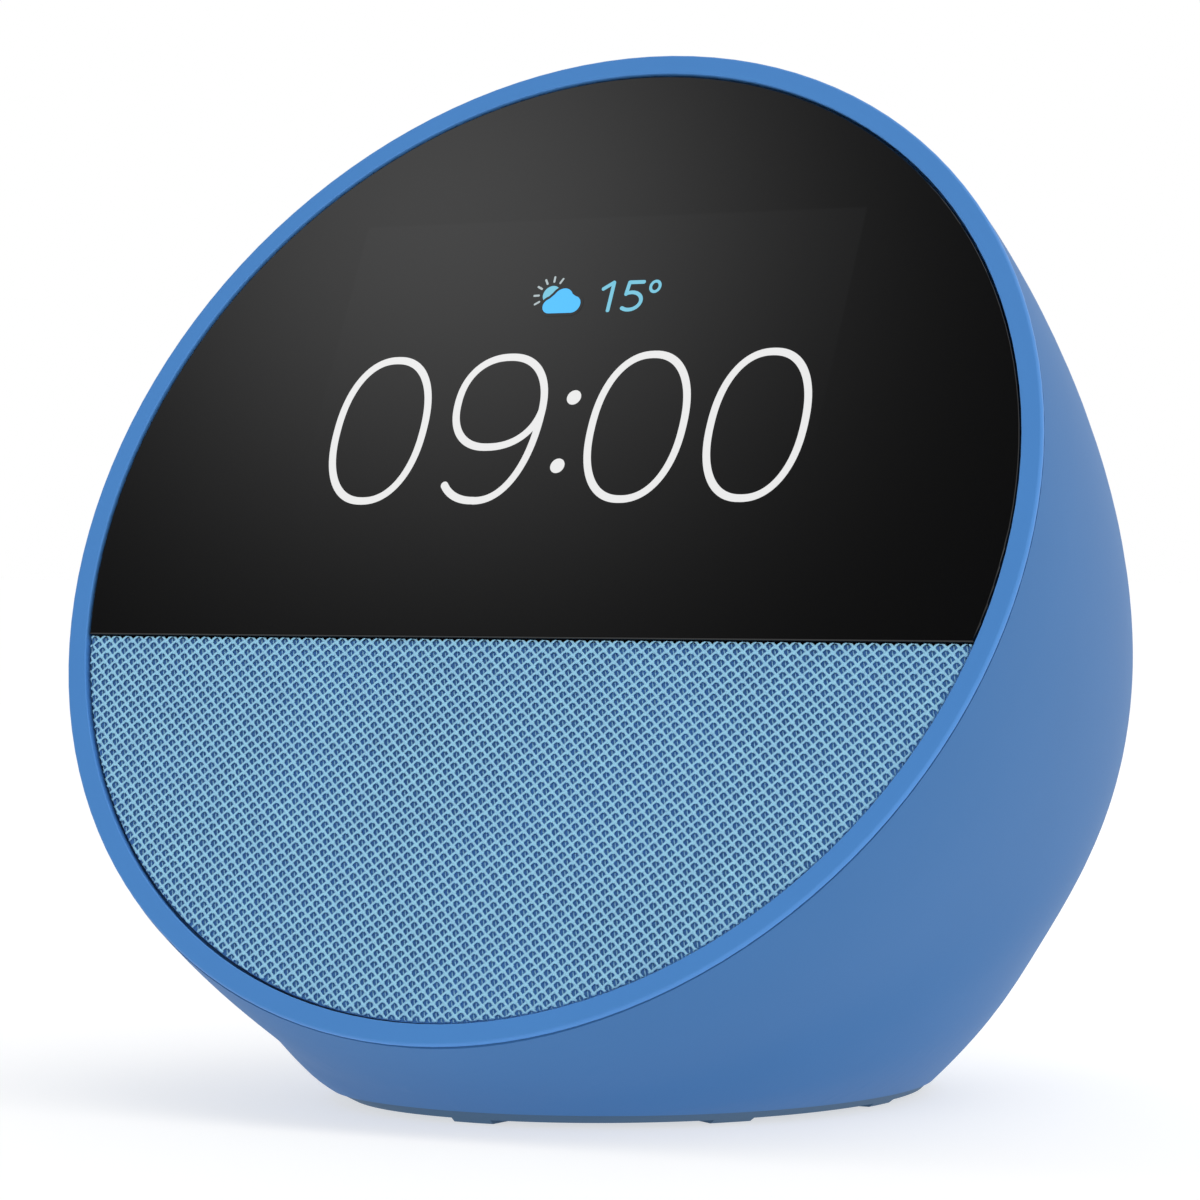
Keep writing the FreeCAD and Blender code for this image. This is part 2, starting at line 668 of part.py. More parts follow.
def roll_profile(start, height, rise, steps=8):
    """Half roll in section: a skin between two flat lips."""
    outer = []
    inner = []
    for i in range(steps + 1):
        turn = math.pi * (1 - i / steps)
        reach = 1 + math.cos(turn)
        outer.append((start + rise * reach, height + SKIN + rise * math.sin(turn)))
        inner.append((start + rise * reach, height + (rise - SKIN) * math.sin(turn)))
    return outer, inner


def speaker_surround():
    start = CONE_R
    outer, inner = roll_profile(start, FLANGE_TOP, ROLL_R)
    lip_in = CONE_R - LIP_IN
    lip_out = FLANGE_R - LIP_OUT
    profile = [(lip_in, FLANGE_TOP), (lip_in, FLANGE_TOP + SKIN)] + outer
    profile += [(lip_out, FLANGE_TOP + SKIN), (lip_out, FLANGE_TOP)] + inner[::-1]
    return on_face(turned(profile, 0, SPEAKER_U))


def speaker_spider():
    start = COIL_R + COIL_WALL + SEAT_GAP
    waves = 3
    steps = 6 * waves
    high = []
    low = []
    for i in range(steps + 1):
        r = start + (SPIDER_R - SPIDER_LIP - start) * i / steps
        lift = SPIDER_WAVE * (1 - math.cos(2 * math.pi * waves * i / steps)) / 2
        high.append((r, SPIDER_SEAT + SKIN + lift))
        low.append((r, SPIDER_SEAT + lift))
    high.append((SPIDER_R, SPIDER_SEAT + SKIN))
    low.append((SPIDER_R, SPIDER_SEAT))
    return on_face(turned(high + low[::-1], 0, SPEAKER_U))


def speaker_cone():
    neck = COIL_R + COIL_WALL
    skin = CONE_SKIN
    profile = [(neck, CONE_FOOT), (neck, CONE_FOOT + skin), (CONE_R - LIP_IN, CONE_LIP),
               (CONE_R, CONE_LIP), (CONE_R, CONE_LIP - skin),
               (CONE_R - LIP_IN + skin / 3, CONE_LIP - skin)]
    return on_face(turned(profile, 0, SPEAKER_U))


def speaker_dust_cap():
    radius = COIL_R + COIL_WALL
    rise = CAP_RISE
    steps = 8
    high = []
    low = []
    for i in range(steps + 1):
        r = radius * i / steps
        high.append((r, CAP_SEAT + SKIN + rise * (1 - (r / radius) ** 2)))
        low.append((r, CAP_SEAT + rise * (1 - (r / radius) ** 2)))
    return on_face(turned(high + low[::-1], 0, SPEAKER_U))


def voice_coil():
    low = YOKE_TOP - COIL_HIGH
    former = tube(COIL_R + COIL_WALL, COIL_R, low, CAP_SEAT, 0, SPEAKER_U)
    winding = tube((COIL_R + YOKE_IN) / 2 + COIL_WALL, COIL_R + COIL_WALL,
                   low + COIL_BARE, YOKE_TOP + COIL_BARE, 0, SPEAKER_U)
    return on_face(join([former, winding]))


POLE_TOP = YOKE_TOP - POLE_STEP


def speaker_pole_plate():
    return on_face(rod(COIL_R - COIL_GAP, POLE_TOP - POLE_THICK, POLE_TOP, 0, SPEAKER_U))


def speaker_magnet():
    radius = COIL_R - COIL_GAP - MAGNET_INSET
    return on_face(rod(radius, YOKE_BACK + YOKE_FLOOR, POLE_TOP - POLE_THICK, 0, SPEAKER_U))


def speaker_yoke():
    cup = rod(YOKE_R, YOKE_BACK, YOKE_TOP, 0, SPEAKER_U)
    well = rod(YOKE_IN, YOKE_BACK + YOKE_FLOOR, YOKE_TOP + 1, 0, SPEAKER_U)
    cup = cup.cut(well)
    return on_face(round_edge_at(cup, YOKE_ROUND, YOKE_R, YOKE_BACK))


def speaker_terminals():
    seat = SPEAKER_U + SPIDER_R - 0.7
    card = block((-5, 5), (seat, seat + 1.0), (YOKE_TOP, BASKET_FLOOR + 0.8))
    tabs = [block((x - 1.2, x + 1.2), (seat + 1.0, seat + 1.4), (YOKE_TOP + 0.2, BASKET_FLOOR + 0.6))
            for x in (-2.8, 2.8)]
    return on_face(join([card] + tabs))


def enclosure_form(inset):
    """Back box of the speaker in face coordinates, drawn in by an inset."""
    return block((inset - ENCLOSURE_HALF_W, ENCLOSURE_HALF_W - inset),
                 (inset - RING_R, ENCLOSURE_TOP - inset),
                 (FLANGE_BACK - ENCLOSURE_DEPTH + inset, FLANGE_BACK - inset))


def enclosure_space(inset):
    """Back box trimmed to the housing's inside, drawn in by an inset."""
    floor = LEDGE_LOW + LEDGE_THICK + INNER_CLEAR / 2 + inset
    form = on_face(enclosure_form(inset)).common(body(WALL + INNER_CLEAR + inset))
    return form.common(slab(floor, 3 * RING_R))


def speaker_enclosure():
    box = enclosure_space(0).cut(enclosure_space(ENCLOSURE_WALL))
    mouth = on_face(rod(FLANGE_R - 1.2, FLANGE_BACK - 3, FLANGE_BACK + 1, 0, SPEAKER_U))
    return box.cut(mouth)


# ---- electronics ----

def main_board():
    plate = block((-BOARD_HALF_W, BOARD_HALF_W), (BOARD_LOW, BOARD_HIGH), (BOARD_BACK, BOARD_FRONT))
    middle = (BOARD_FRONT + BOARD_BACK) / 2
    plate = round_edges(plate, BOARD_CORNER, lambda e: abs(e.CenterOfMass.z - middle) < 0.01)
    hole = SCREW_R + SCREW_PLAY
    holes = [rod(hole, BOARD_BACK - 1, BOARD_FRONT + 1, x, y) for x, y in board_spots()]
    return on_face(plate.cut(group(holes)))


def board_screws():
    screws = []
    for x, y in board_spots():
        reach = HEAD_H + BOARD_THICK + BOARD_SCREW_GRIP
        one = screw(x, -y, -BOARD_BACK + HEAD_H, reach, head_r=SMALL_HEAD_R)
        one.rotate(Vector(0, 0, 0), Vector(1, 0, 0), 180)
        screws.append(one)
    return on_face(group(screws))


def shield_can():
    low = BOARD_BACK - CAN_HEIGHT
    outer = block(CAN_X, CAN_Y, (low, BOARD_BACK))
    outer = round_edges(outer, CAN_ROUND, lambda e: abs(e.CenterOfMass.z - low) < 0.01)
    hollow = block((CAN_X[0] + CAN_SHEET, CAN_X[1] - CAN_SHEET),
                   (CAN_Y[0] + CAN_SHEET, CAN_Y[1] - CAN_SHEET), (low + CAN_SHEET, BOARD_BACK + 1))
    return on_face(outer.cut(hollow))


def board_chips():
    inside = [((-11, 1), (11, 23), 1.2), ((3, 10), (12, 20), 1.0), ((-6, 2), (25, 29), 0.8)]
    outside = [((16, 24), (20, 28), 0.9), ((15, 20), (8, 13), 0.8), ((-26, -19), (14, 20), 1.0),
               ((-24, -20), (4, 7), 1.3)]
    chips = [block(x, y, (BOARD_BACK - h, BOARD_BACK)) for x, y, h in inside + outside]
    return on_face(group(chips))


def board_connectors():
    flex = block((-FLEX_HALF_W - 1, FLEX_HALF_W + 1), (FLEX_SLOT_U - 2, FLEX_SLOT_U + 2),
                 (BOARD_FRONT, BOARD_FRONT + CONNECTOR_LOW))
    behind = [((15, 21), (0.0, 4.5), CONNECTOR_HIGH), ((-17, -10), (0.0, 4.5), CONNECTOR_HIGH),
              ((-6, 6), (33.2, 36.5), CONNECTOR_TOP)]
    rest = [block(x, y, (BOARD_BACK - h, BOARD_BACK)) for x, y, h in behind]
    return on_face(group([flex] + rest))


def thermal_pad():
    low = BOARD_BACK - CAN_HEIGHT
    return on_face(block((CAN_X[0] + PAD_INSET, CAN_X[1] - PAD_INSET),
                         (CAN_Y[0] + PAD_INSET, CAN_Y[1] - PAD_INSET), (low - PAD_THICK, low)))


def heat_spreader():
    high = BOARD_BACK - CAN_HEIGHT - PAD_THICK
    low = high - SPREADER_THICK
    plate = block((-SPREADER_HALF_W, SPREADER_HALF_W), (SPREADER_LOW, SPREADER_HIGH), (low, high))
    middle = (low + high) / 2
    plate = round_edges(plate, 2.5, lambda e: abs(e.CenterOfMass.z - middle) < 0.01)
    span = 3 * FIN_PITCH
    fins = [block((x - 0.5, x + 0.5), (SPREADER_LOW + 2, SPREADER_HIGH - 2), (low - FIN_HIGH, low))
            for x in range(-span, span + 1, FIN_PITCH)]
    return on_face(join([plate] + fins))


def antennas():
    high = CHASSIS_BACK
    top = block((-15, 15), (41.5, 46.5), (high - ANTENNA_THICK, high))
    side = block((-46, -41), (0, 22), (high - ANTENNA_THICK, high))
    return on_face(group([top, side]))


# ---- buttons ----

def crest_frame():
    """Frame at the dome's crest above the button row: z is the outward normal there."""
    step = 0.01
    slope = (dome_radius(BUTTON_DEPTH + step) - dome_radius(BUTTON_DEPTH - step)) / (2 * step)
    normal = (UP_FACE - INWARD * slope).normalize()
    point = CENTRE + UP_FACE * dome_radius(BUTTON_DEPTH) + INWARD * BUTTON_DEPTH
    lean = math.degrees(math.atan2(normal.y, normal.z))
    return Placement(point, Rotation(Vector(1, 0, 0), -lean))


CREST = crest_frame()
FLANGE_LOW = BUTTON_FLANGE - BUTTON_FLANGE_THICK
MAT_HIGH = FLANGE_LOW - BUTTON_TRAVEL - MAT_CLEAR
BRACKET_HIGH = MAT_HIGH - MAT_THICK
STEM_LOW = BRACKET_HIGH - BRACKET_THICK
SWITCH_TOP = STEM_LOW - BUTTON_TRAVEL - PRESS_CLEAR
KEY_BOARD_TOP = SWITCH_TOP - SWITCH_HIGH
BUTTON_X = (-BUTTON_PITCH, 0.0, BUTTON_PITCH)
MIC_X = (-BUTTON_PITCH / 2, BUTTON_PITCH / 2)
KEY_SCREW_X = BUTTON_PITCH + BUTTON_R + FLANGE_LAP + KEY_BOSS_R + 0.3
KEY_HALF_LEN = KEY_SCREW_X + KEY_END


def at_crest(shape):
    moved = shape.copy()
    moved.Placement = CREST.multiply(shape.Placement)
    return moved


def button(x):
    """Cap whose top follows the dome, with a retaining flange and a stem."""
    cap = at_crest(rod(BUTTON_R, FLANGE_LOW, 3, x)).common(body())
    flange = at_crest(rod(BUTTON_R + FLANGE_LAP, FLANGE_LOW, BUTTON_FLANGE, x))
    stem = at_crest(rod(STEM_R, STEM_LOW, FLANGE_LOW, x))
    return join([cap, flange, stem])


def volume_down_button():
    return button(BUTTON_X[0])


def mic_mute_button():
    return button(BUTTON_X[1])


def volume_up_button():
    return button(BUTTON_X[2])


def key_plate(low, high, stem_hole, half_wide=KEY_HALF_WIDE):
    """Flat plate under the buttons with holes for stems, screws and sound tubes."""
    plate = block((-KEY_HALF_LEN, KEY_HALF_LEN), (-half_wide, half_wide), (low, high))
    holes = [rod(stem_hole, low - 1, high + 1, x) for x in BUTTON_X]
    holes += [rod(MIC_TUBE_R + SCREW_PLAY, low - 1, high + 1, x) for x in MIC_X]
    holes += [rod(SCREW_R + SCREW_PLAY, low - 1, high + 1, x) for x in (-KEY_SCREW_X, KEY_SCREW_X)]
    return plate.cut(group(holes))


def key_mat():
    mat = key_plate(BRACKET_HIGH, MAT_HIGH, STEM_R + STEM_PLAY, KEY_HALF_WIDE - BRACKET_WALL)
    ends = [rod(KEY_BOSS_R + 0.3, BRACKET_HIGH - 1, MAT_HIGH + 1, x) for x in (-KEY_SCREW_X, KEY_SCREW_X)]
    far = [block((x - 4, x + 4), (-9, 9), (BRACKET_HIGH - 1, MAT_HIGH + 1))
           for x in (-KEY_HALF_LEN - 1, KEY_HALF_LEN + 1)]
    return at_crest(mat.cut(group(ends + far)))


def button_bracket():
    plate = key_plate(STEM_LOW, BRACKET_HIGH, STEM_R + STEM_PLAY)
    inside = KEY_HALF_WIDE - BRACKET_WALL
    walls = [block((-KEY_HALF_LEN, KEY_HALF_LEN), side, (KEY_BOARD_TOP, STEM_LOW))
             for side in ((-KEY_HALF_WIDE, -inside), (inside, KEY_HALF_WIDE))]
    return at_crest(join([plate] + walls))


def button_board():
    plate = block((-KEY_HALF_LEN, KEY_HALF_LEN), (-KEY_HALF_WIDE, KEY_HALF_WIDE),
                  (KEY_BOARD_TOP - KEY_BOARD_THICK, KEY_BOARD_TOP))
    holes = [rod(SCREW_R + SCREW_PLAY, KEY_BOARD_TOP - 3, KEY_BOARD_TOP + 1, x)
             for x in (-KEY_SCREW_X, KEY_SCREW_X)]
    return at_crest(plate.cut(group(holes)))


def button_screws():
    screws = []
    head_low = KEY_BOARD_TOP - KEY_BOARD_THICK - HEAD_H
    for x in (-KEY_SCREW_X, KEY_SCREW_X):
        reach = BRACKET_HIGH + KEY_SCREW_GRIP - head_low
        one = screw(x, 0, -head_low, reach, head_r=SMALL_HEAD_R)
        one.rotate(Vector(0, 0, 0), Vector(1, 0, 0), 180)
        screws.append(one)
    return at_crest(group(screws))


def tact_switches():
    switches = []
    for x in BUTTON_X:
        seat = SWITCH_TOP - PLUNGER_HIGH
        case = block((x - SWITCH_HALF, x + SWITCH_HALF), (-SWITCH_HALF, SWITCH_HALF),
                     (KEY_BOARD_TOP, seat))
        switches.append(join([case, rod(PLUNGER_R, seat, SWITCH_TOP, x)]))
    return at_crest(group(switches))


def microphones():
    return at_crest(group([block((x - 1.6, x + 1.6), (-1.3, 1.3), (KEY_BOARD_TOP, KEY_BOARD_TOP + MIC_HIGH))
                           for x in MIC_X]))


def mic_gaskets():
    low = KEY_BOARD_TOP + MIC_HIGH
    inside = body(WALL + FIT_GAP)
    tubes = [at_crest(tube(MIC_TUBE_R, MIC_HOLE_R + 0.2, low, 0, x)).common(inside) for x in MIC_X]
    return group(tubes)


def button_flex():
    """Ribbon from the button board down to the main board's top connector."""
    start = CREST.multVec(Vector(0, 0, KEY_BOARD_TOP - KEY_BOARD_THICK - FLEX_THICK / 2))
    end = FACE.multVec(Vector(0, 34.8, BOARD_BACK - CONNECTOR_TOP - FLEX_THICK))
    down = (CREST.Rotation.multVec(Vector(0, 0, -1))).normalize()
    inward = INWARD
    points = [start + down * 0.15, start + down * 7, end + inward * 7, end]
    grow = FLEX_THICK / 2
    runs = []
    for a, b in zip(points, points[1:]):
        run = block((-4, 4), (-grow, grow), (-grow / 2, (b - a).Length + grow / 2))
        lean = math.degrees(math.atan2((b - a).y, (b - a).z))
        run.Placement = Placement(a, Rotation(Vector(1, 0, 0), -lean))
        runs.append(run)
    return join(runs)


# ---- power inlet ----

def port_frame():
    """Frame at the collar's mouth: z points straight back out of the object."""
    low = PORT_HEIGHT - COLLAR_R - FIT_GAP
    ray = Part.makeLine(Vector(0, 0, low), Vector(0, 3 * RING_R, low))
    reach = max(v.Point.y for v in ray.common(body()).Vertexes)
    return Placement(Vector(0, reach - 0.3, PORT_HEIGHT), Rotation(Vector(1, 0, 0), -90))


PORT = port_frame()


def at_port(shape):
    moved = shape.copy()
    moved.Placement = PORT.multiply(shape.Placement)
    return moved


def dc_socket_collar():
    floor = -PORT_LONG
    sleeve = rod(COLLAR_R, floor - PORT_FLOOR, 0)
    sleeve = round_edge_at(sleeve, 0.3, COLLAR_R, 0)
    sleeve = sleeve.cut(rod(PORT_R, floor, 1))
    return at_port(sleeve.cut(rod(JACK_NOSE_R + 0.1, floor - PORT_FLOOR - 1, floor + 1)))


JACK_FRONT = -PORT_LONG - PORT_FLOOR
JACK_BACK = JACK_FRONT - JACK_LONG


def dc_jack():
    case = block((-JACK_HALF, JACK_HALF), (-JACK_HALF, JACK_HALF), (JACK_BACK, JACK_FRONT))
    nose = rod(JACK_NOSE_R, JACK_FRONT, -PORT_LONG)
    return at_port(join([case, nose]).cut(rod(JACK_BORE_R, JACK_BACK + JACK_FLOOR, 1)))


def dc_pin():
    return at_port(rod(JACK_PIN_R, JACK_BACK + JACK_FLOOR, JACK_FRONT + 1.0))


def dc_board():
    card = block((-PORT_CARD_HALF_W, PORT_CARD_HALF_W), (-PORT_CARD_HALF_H, PORT_CARD_HALF_H),
                 (JACK_BACK - PORT_CARD_THICK, JACK_BACK))
    hole = SCREW_R + SCREW_PLAY
    holes = [rod(hole, JACK_BACK - 3, JACK_BACK + 1, x) for x in (-PORT_POST_X, PORT_POST_X)]
    return at_port(card.cut(group(holes)))


def dc_screws():
    screws = []
    for x in (-PORT_POST_X, PORT_POST_X):
        reach = HEAD_H + PORT_CARD_THICK + CARD_SCREW_GRIP
        one = screw(x, 0, PORT_CARD_THICK - JACK_BACK + HEAD_H, reach, head_r=SMALL_HEAD_R)
        one.rotate(Vector(0, 0, 0), Vector(1, 0, 0), 180)
        screws.append(one)
    return at_port(group(screws))


# ---- leads ----

def board_plug(x):
    """Point on the back of a board connector where a lead leaves it."""
    return FACE.multVec(Vector(x, 2.2, BOARD_BACK - CONNECTOR_HIGH - 0.05))


def dc_leads():
    """Pair of supply leads from the power card to the main board."""
    pair = []
    for side in (-LEAD_R - LEAD_GAP, LEAD_R + LEAD_GAP):
        start = PORT.multVec(Vector(side, 0, JACK_BACK - PORT_CARD_THICK - 0.05))
        end = board_plug(side - 13.5)
        first = start - Vector(0, 6, 0)
        last = end + INWARD * 8
        middle = (first + last) / 2 + Vector(0, 7, 2)
        pair.append(cable([start, first, middle, last, end], 2 * LEAD_R))
    return group(pair)


def speaker_leads():
    """Pair of leads from the board to the speaker's back box."""
    pair = []
    for side in (-LEAD_R - LEAD_GAP, LEAD_R + LEAD_GAP):
        start = board_plug(side + 18)
        first = start + INWARD * 5.5
        end = FACE.multVec(Vector(side + 18, ENCLOSURE_TOP + 0.05, BOARD_BACK - 14))
        second = end + UP_FACE * 4.5
        pair.append(cable([start, first, second, end], 2 * LEAD_R))
    return group(pair)


# ---- housing ----

def rim_bosses():
    """Screw posts inside the rim, each tied to the wall by a rib."""
    posts = []
    for angle, (x, y) in zip(RIM_BOSS_ANGLES, rim_spots()):
        low = CHASSIS_BACK - RIM_BOSS_LONG
        post = rod(RIM_BOSS_R, low, CHASSIS_BACK, x, y)
        rib = block((0, RIM_BOSS_IN), (-1.2, 1.2), (low, CHASSIS_BACK))
        rib.rotate(Vector(0, 0, 0), Vector(0, 0, 1), angle)
        rib.translate(Vector(x, y, 0))
        posts += [on_face(post), on_face(rib)]
    return posts


def rear_housing():
    skin = body().common(slab(SHELL_LIFT, 4 * RING_R))
    skin = skin.cut(on_face(rod(2 * RING_R, -RING_EDGE - PARTING_GAP, 5)))
    cavity = body(WALL)
    trimmed = body(WALL / 4)
    shell = skin.cut(cavity)
    ledge = cavity.common(slab(LEDGE_LOW, LEDGE_LOW + LEDGE_THICK))
    ledge = ledge.cut(base_oval(WALL + LEDGE_WIDTH, 0, 20))
    key_posts = [at_crest(rod(KEY_BOSS_R, BRACKET_HIGH, 0, x)) for x in (-KEY_SCREW_X, KEY_SCREW_X)]
    port_posts = [at_port(rod(PORT_POST_R, JACK_BACK, 12, x)) for x in (-PORT_POST_X, PORT_POST_X)]
    sleeve = at_port(rod(COLLAR_R + FIT_GAP + PORT_SLEEVE, JACK_FRONT + 1, 12)).common(skin)
    inner = [p.common(trimmed) for p in rim_bosses() + key_posts + port_posts]
    shell = join([shell, ledge, sleeve] + inner)
    cuts = [on_face(rod(SKIRT_R + FIT_GAP, -SKIRT_DEPTH - FIT_GAP, 5)),
            at_port(rod(COLLAR_R + FIT_GAP, JACK_FRONT - 3, 20))]
    cuts += [on_face(rod(PILOT_R, CHASSIS_BACK - 8, CHASSIS_BACK + 1, x, y)) for x, y in rim_spots()]
    cuts += [at_crest(rod(BUTTON_R + BUTTON_GAP, BUTTON_FLANGE, 4, x)) for x in BUTTON_X]
    cuts += [at_crest(rod(MIC_HOLE_R, BUTTON_FLANGE, 4, x)) for x in MIC_X]
    cuts += [at_crest(rod(PILOT_R, BRACKET_HIGH - 1, BRACKET_HIGH + 2, x))
             for x in (-KEY_SCREW_X, KEY_SCREW_X)]
    cuts += [at_port(rod(PILOT_R, JACK_BACK - 1, JACK_BACK + 6, x)) for x in (-PORT_POST_X, PORT_POST_X)]
    cuts += base_pilots(PILOT_R + SCREW_PLAY)
    for cut in cuts:
        shell = shell.cut(cut)
    return shell


# ---- base ----

def base_pilots(radius):
    pilots = []
    for angle in BASE_SCREW_ANGLES:
        spot = base_spot(angle, BASE_SCREW_IN)
        pilots.append(rod(radius, 0, LEDGE_LOW + LEDGE_THICK + 1, spot.x, spot.y))
    return pilots


def base_plate():
    plate = base_oval(WALL + PLATE_GAP, SHELL_LIFT, PLATE_TOP)
    cuts = base_pilots(PILOT_R + 0.5)
    for angle in BASE_SCREW_ANGLES:
        spot = base_spot(angle, BASE_SCREW_IN)
        cuts.append(rod(HEAD_R + 0.3, SHELL_LIFT - 1, SHELL_LIFT + HEAD_H + 0.1, spot.x, spot.y))
    return plate.cut(group(cuts))


def base_screws():
    screws = []
    for angle in BASE_SCREW_ANGLES:
        spot = base_spot(angle, BASE_SCREW_IN)
        one = screw(spot.x, -spot.y, -SHELL_LIFT - 0.1, HEAD_H + BASE_SCREW_GRIP,
                    shank_r=SCREW_R + SCREW_PLAY)
        one.rotate(Vector(0, 0, 0), Vector(1, 0, 0), 180)
        screws.append(one)
    return group(screws)


def foot_ring():
    """Soft ring under the housing, with tabs that stand on the floor."""
    ring = body(FOOT_INSET).common(slab(-1, SHELL_LIFT))
    ring = ring.cut(base_oval(FOOT_WIDTH, -2, 3))
    gaps = slab(-1, FOOT_GAP)
    for angle in FOOT_ANGLES:
        tab = block((-15, 6), (-FOOT_TAB / 2, FOOT_TAB / 2), (-2, FOOT_GAP + 1))
        turn = math.radians(angle)
        lean = math.degrees(math.atan2(math.sin(turn) * BASE_HALF_WIDTH,
                                       math.cos(turn) * BASE_LENGTH / 2))
        tab.rotate(Vector(0, 0, 0), Vector(0, 0, 1), lean)
        tab.translate(base_spot(angle, 0))
        gaps = gaps.cut(tab)
    return ring.cut(gaps)


PARTS = [bezel_ring, cover_glass, glass_adhesive, optical_bond, display_panel, display_tray,
         display_foam, display_flex, grille_plate, grille_fabric, front_chassis, chassis_screws,
         speaker_gasket, speaker_basket, speaker_surround, speaker_spider, speaker_cone,
         speaker_dust_cap, voice_coil, speaker_pole_plate, speaker_magnet, speaker_yoke,
         speaker_terminals, speaker_enclosure, speaker_leads, main_board, board_screws,
         shield_can, board_chips, board_connectors, thermal_pad, heat_spreader, antennas,
         volume_down_button, mic_mute_button, volume_up_button, key_mat, button_bracket,
         button_board, button_screws, tact_switches, microphones, mic_gaskets, button_flex,
         dc_socket_collar, dc_jack, dc_pin, dc_board, dc_screws, dc_leads,
         rear_housing, base_plate, base_screws, foot_ring]

os.makedirs("parts", exist_ok=True)
for make in PARTS:
    shape = make()
    shape.exportStep("parts/" + make.__name__ + ".step")
    print(make.__name__, "valid", shape.isValid(), "solids", len(shape.Solids),
          "cm3", round(shape.Volume / 1000, 3))
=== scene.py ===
# %% [markdown]
# # A small desk display with a tilted round face
# The solid parts come ready made, one mesh for each piece, with their joints. This
# notebook keeps them where they are and adds what a solid model can't show: the knitted
# cover of the speaker, what the display shows, the marks on the buttons, and the finish
# of every surface. Everything is in metres, with the origin on the floor.

# %% Load the solid parts
import json
import math

import bmesh
import bpy
from mathutils import Matrix, Vector
from mathutils.bvhtree import BVHTree


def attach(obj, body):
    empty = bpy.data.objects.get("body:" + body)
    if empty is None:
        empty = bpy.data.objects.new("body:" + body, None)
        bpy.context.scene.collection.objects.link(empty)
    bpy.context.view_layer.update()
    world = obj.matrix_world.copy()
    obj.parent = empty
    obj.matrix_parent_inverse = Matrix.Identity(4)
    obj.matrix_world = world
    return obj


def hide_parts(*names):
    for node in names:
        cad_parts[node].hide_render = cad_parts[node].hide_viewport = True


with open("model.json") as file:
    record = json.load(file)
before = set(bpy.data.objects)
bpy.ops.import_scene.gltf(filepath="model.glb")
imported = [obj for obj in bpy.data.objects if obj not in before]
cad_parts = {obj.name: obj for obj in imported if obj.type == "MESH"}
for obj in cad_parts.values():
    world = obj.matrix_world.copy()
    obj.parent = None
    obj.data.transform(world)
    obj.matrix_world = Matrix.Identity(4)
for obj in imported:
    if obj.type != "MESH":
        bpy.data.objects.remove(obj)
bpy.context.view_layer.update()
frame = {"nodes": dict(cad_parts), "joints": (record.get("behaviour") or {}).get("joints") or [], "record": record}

MM = 0.001
nodes = frame["nodes"]

# %% [markdown]
# ## Where the face is
# The face leans back, so everything on it is easier to place in the face's own
# coordinates: x to the right, u up the slope, and w outwards. The speaker cone slides
# along w, so its joint already gives that direction. The ring's own points give the
# middle of the face and the height of its front. Measuring them keeps this notebook
# right if the model's sizes change.

# %% Face coordinates
joints = {joint["name"]: joint for joint in frame["joints"]}
OUT = Vector(joints["diaphragm_stroke"]["axis"]).normalized()
RIGHT = Vector((1, 0, 0))
SLOPE = OUT.cross(RIGHT)


def spread(node, direction):
    """Lowest and highest reach of a part along a direction."""
    reach = [v.co.dot(direction) for v in nodes[node].data.vertices]
    return min(reach), max(reach)


low, high = spread("bezel_ring", SLOPE)
RING_R = (high - low) / 2
FRONT = spread("bezel_ring", OUT)[1]
CENTRE = SLOPE * (low + high) / 2 + OUT * FRONT
GLASS_TOP = spread("cover_glass", OUT)[1] - FRONT
CLOTH_TOP = spread("grille_fabric", OUT)[1] - FRONT
CLOTH_UNDER = spread("grille_fabric", OUT)[0] - FRONT
CLOTH_EDGE = spread("grille_fabric", SLOPE)[1] - CENTRE.dot(SLOPE)
CLOTH_R = CENTRE.dot(SLOPE) - spread("grille_fabric", SLOPE)[0]
TO_FACE = Matrix((RIGHT, SLOPE, OUT)).transposed().to_4x4()
TO_FACE.translation = CENTRE
print(f"face: radius {RING_R / MM:.2f} mm, middle at {CENTRE.z / MM:.2f} mm, "
      f"cloth {CLOTH_TOP / MM:.2f} to {CLOTH_UNDER / MM:.2f} mm, edge {CLOTH_EDGE / MM:.2f} mm")

# %% [markdown]
# ## Camera
# A product picture of a small object is taken from some way off with a long lens, so
# that circles stay even. The camera stands about half a metre away, a third of the way
# round to the right and level with the middle of the face. It looks a little past the
# face, which puts the whole object in the middle of the frame.

# %% Place the camera
AZIMUTH = math.radians(30.102)
ELEVATION = math.radians(0.448)
DISTANCE = 0.5018
LENS = 146.08
AIM_RIGHT = 6.891 * MM
AIM_DOWN = 7.233 * MM

back = Vector((math.sin(AZIMUTH) * math.cos(ELEVATION),
               -math.cos(AZIMUTH) * math.cos(ELEVATION), math.sin(ELEVATION)))
right = Vector((math.cos(AZIMUTH), math.sin(AZIMUTH), 0))
up = back.cross(right)

camera = bpy.data.objects.new("camera", bpy.data.cameras.new("camera"))
camera.data.lens = LENS
camera.data.sensor_width = 36
camera.data.clip_start = 0.01
turn = Matrix((right, up, back)).transposed().to_4x4()
turn.translation = CENTRE + back * DISTANCE + right * AIM_RIGHT - up * AIM_DOWN
camera.matrix_world = turn
scene = bpy.context.scene
scene.collection.objects.link(camera)
scene.camera = camera
scene.view_settings.view_transform = "Standard"
print("camera at", [round(v, 4) for v in camera.location])

# %% [markdown]
# ## Studio
# The object stands in a white room. White walls alone would make the glass look milky,
# so the studio has a dark screen where the glass mirrors the room towards the camera,
# and one small soft glow in that screen gives the glass its single broad highlight. A
# real studio does the same with a black flag and a diffuser.

# %% Room, screen and glow
ROOM = 1.0
SCREEN = 0.055
SCREEN_AT = Vector((-0.50, -0.53, 0.68)).normalized()
SCREEN_ANGLE = 26.0
SCREEN_FADED = 42.0
GLOW_AT = Vector((-0.528, -0.476, 0.704)).normalized()
GLOW = 1.19
GLOW_SPREAD = 0.0021


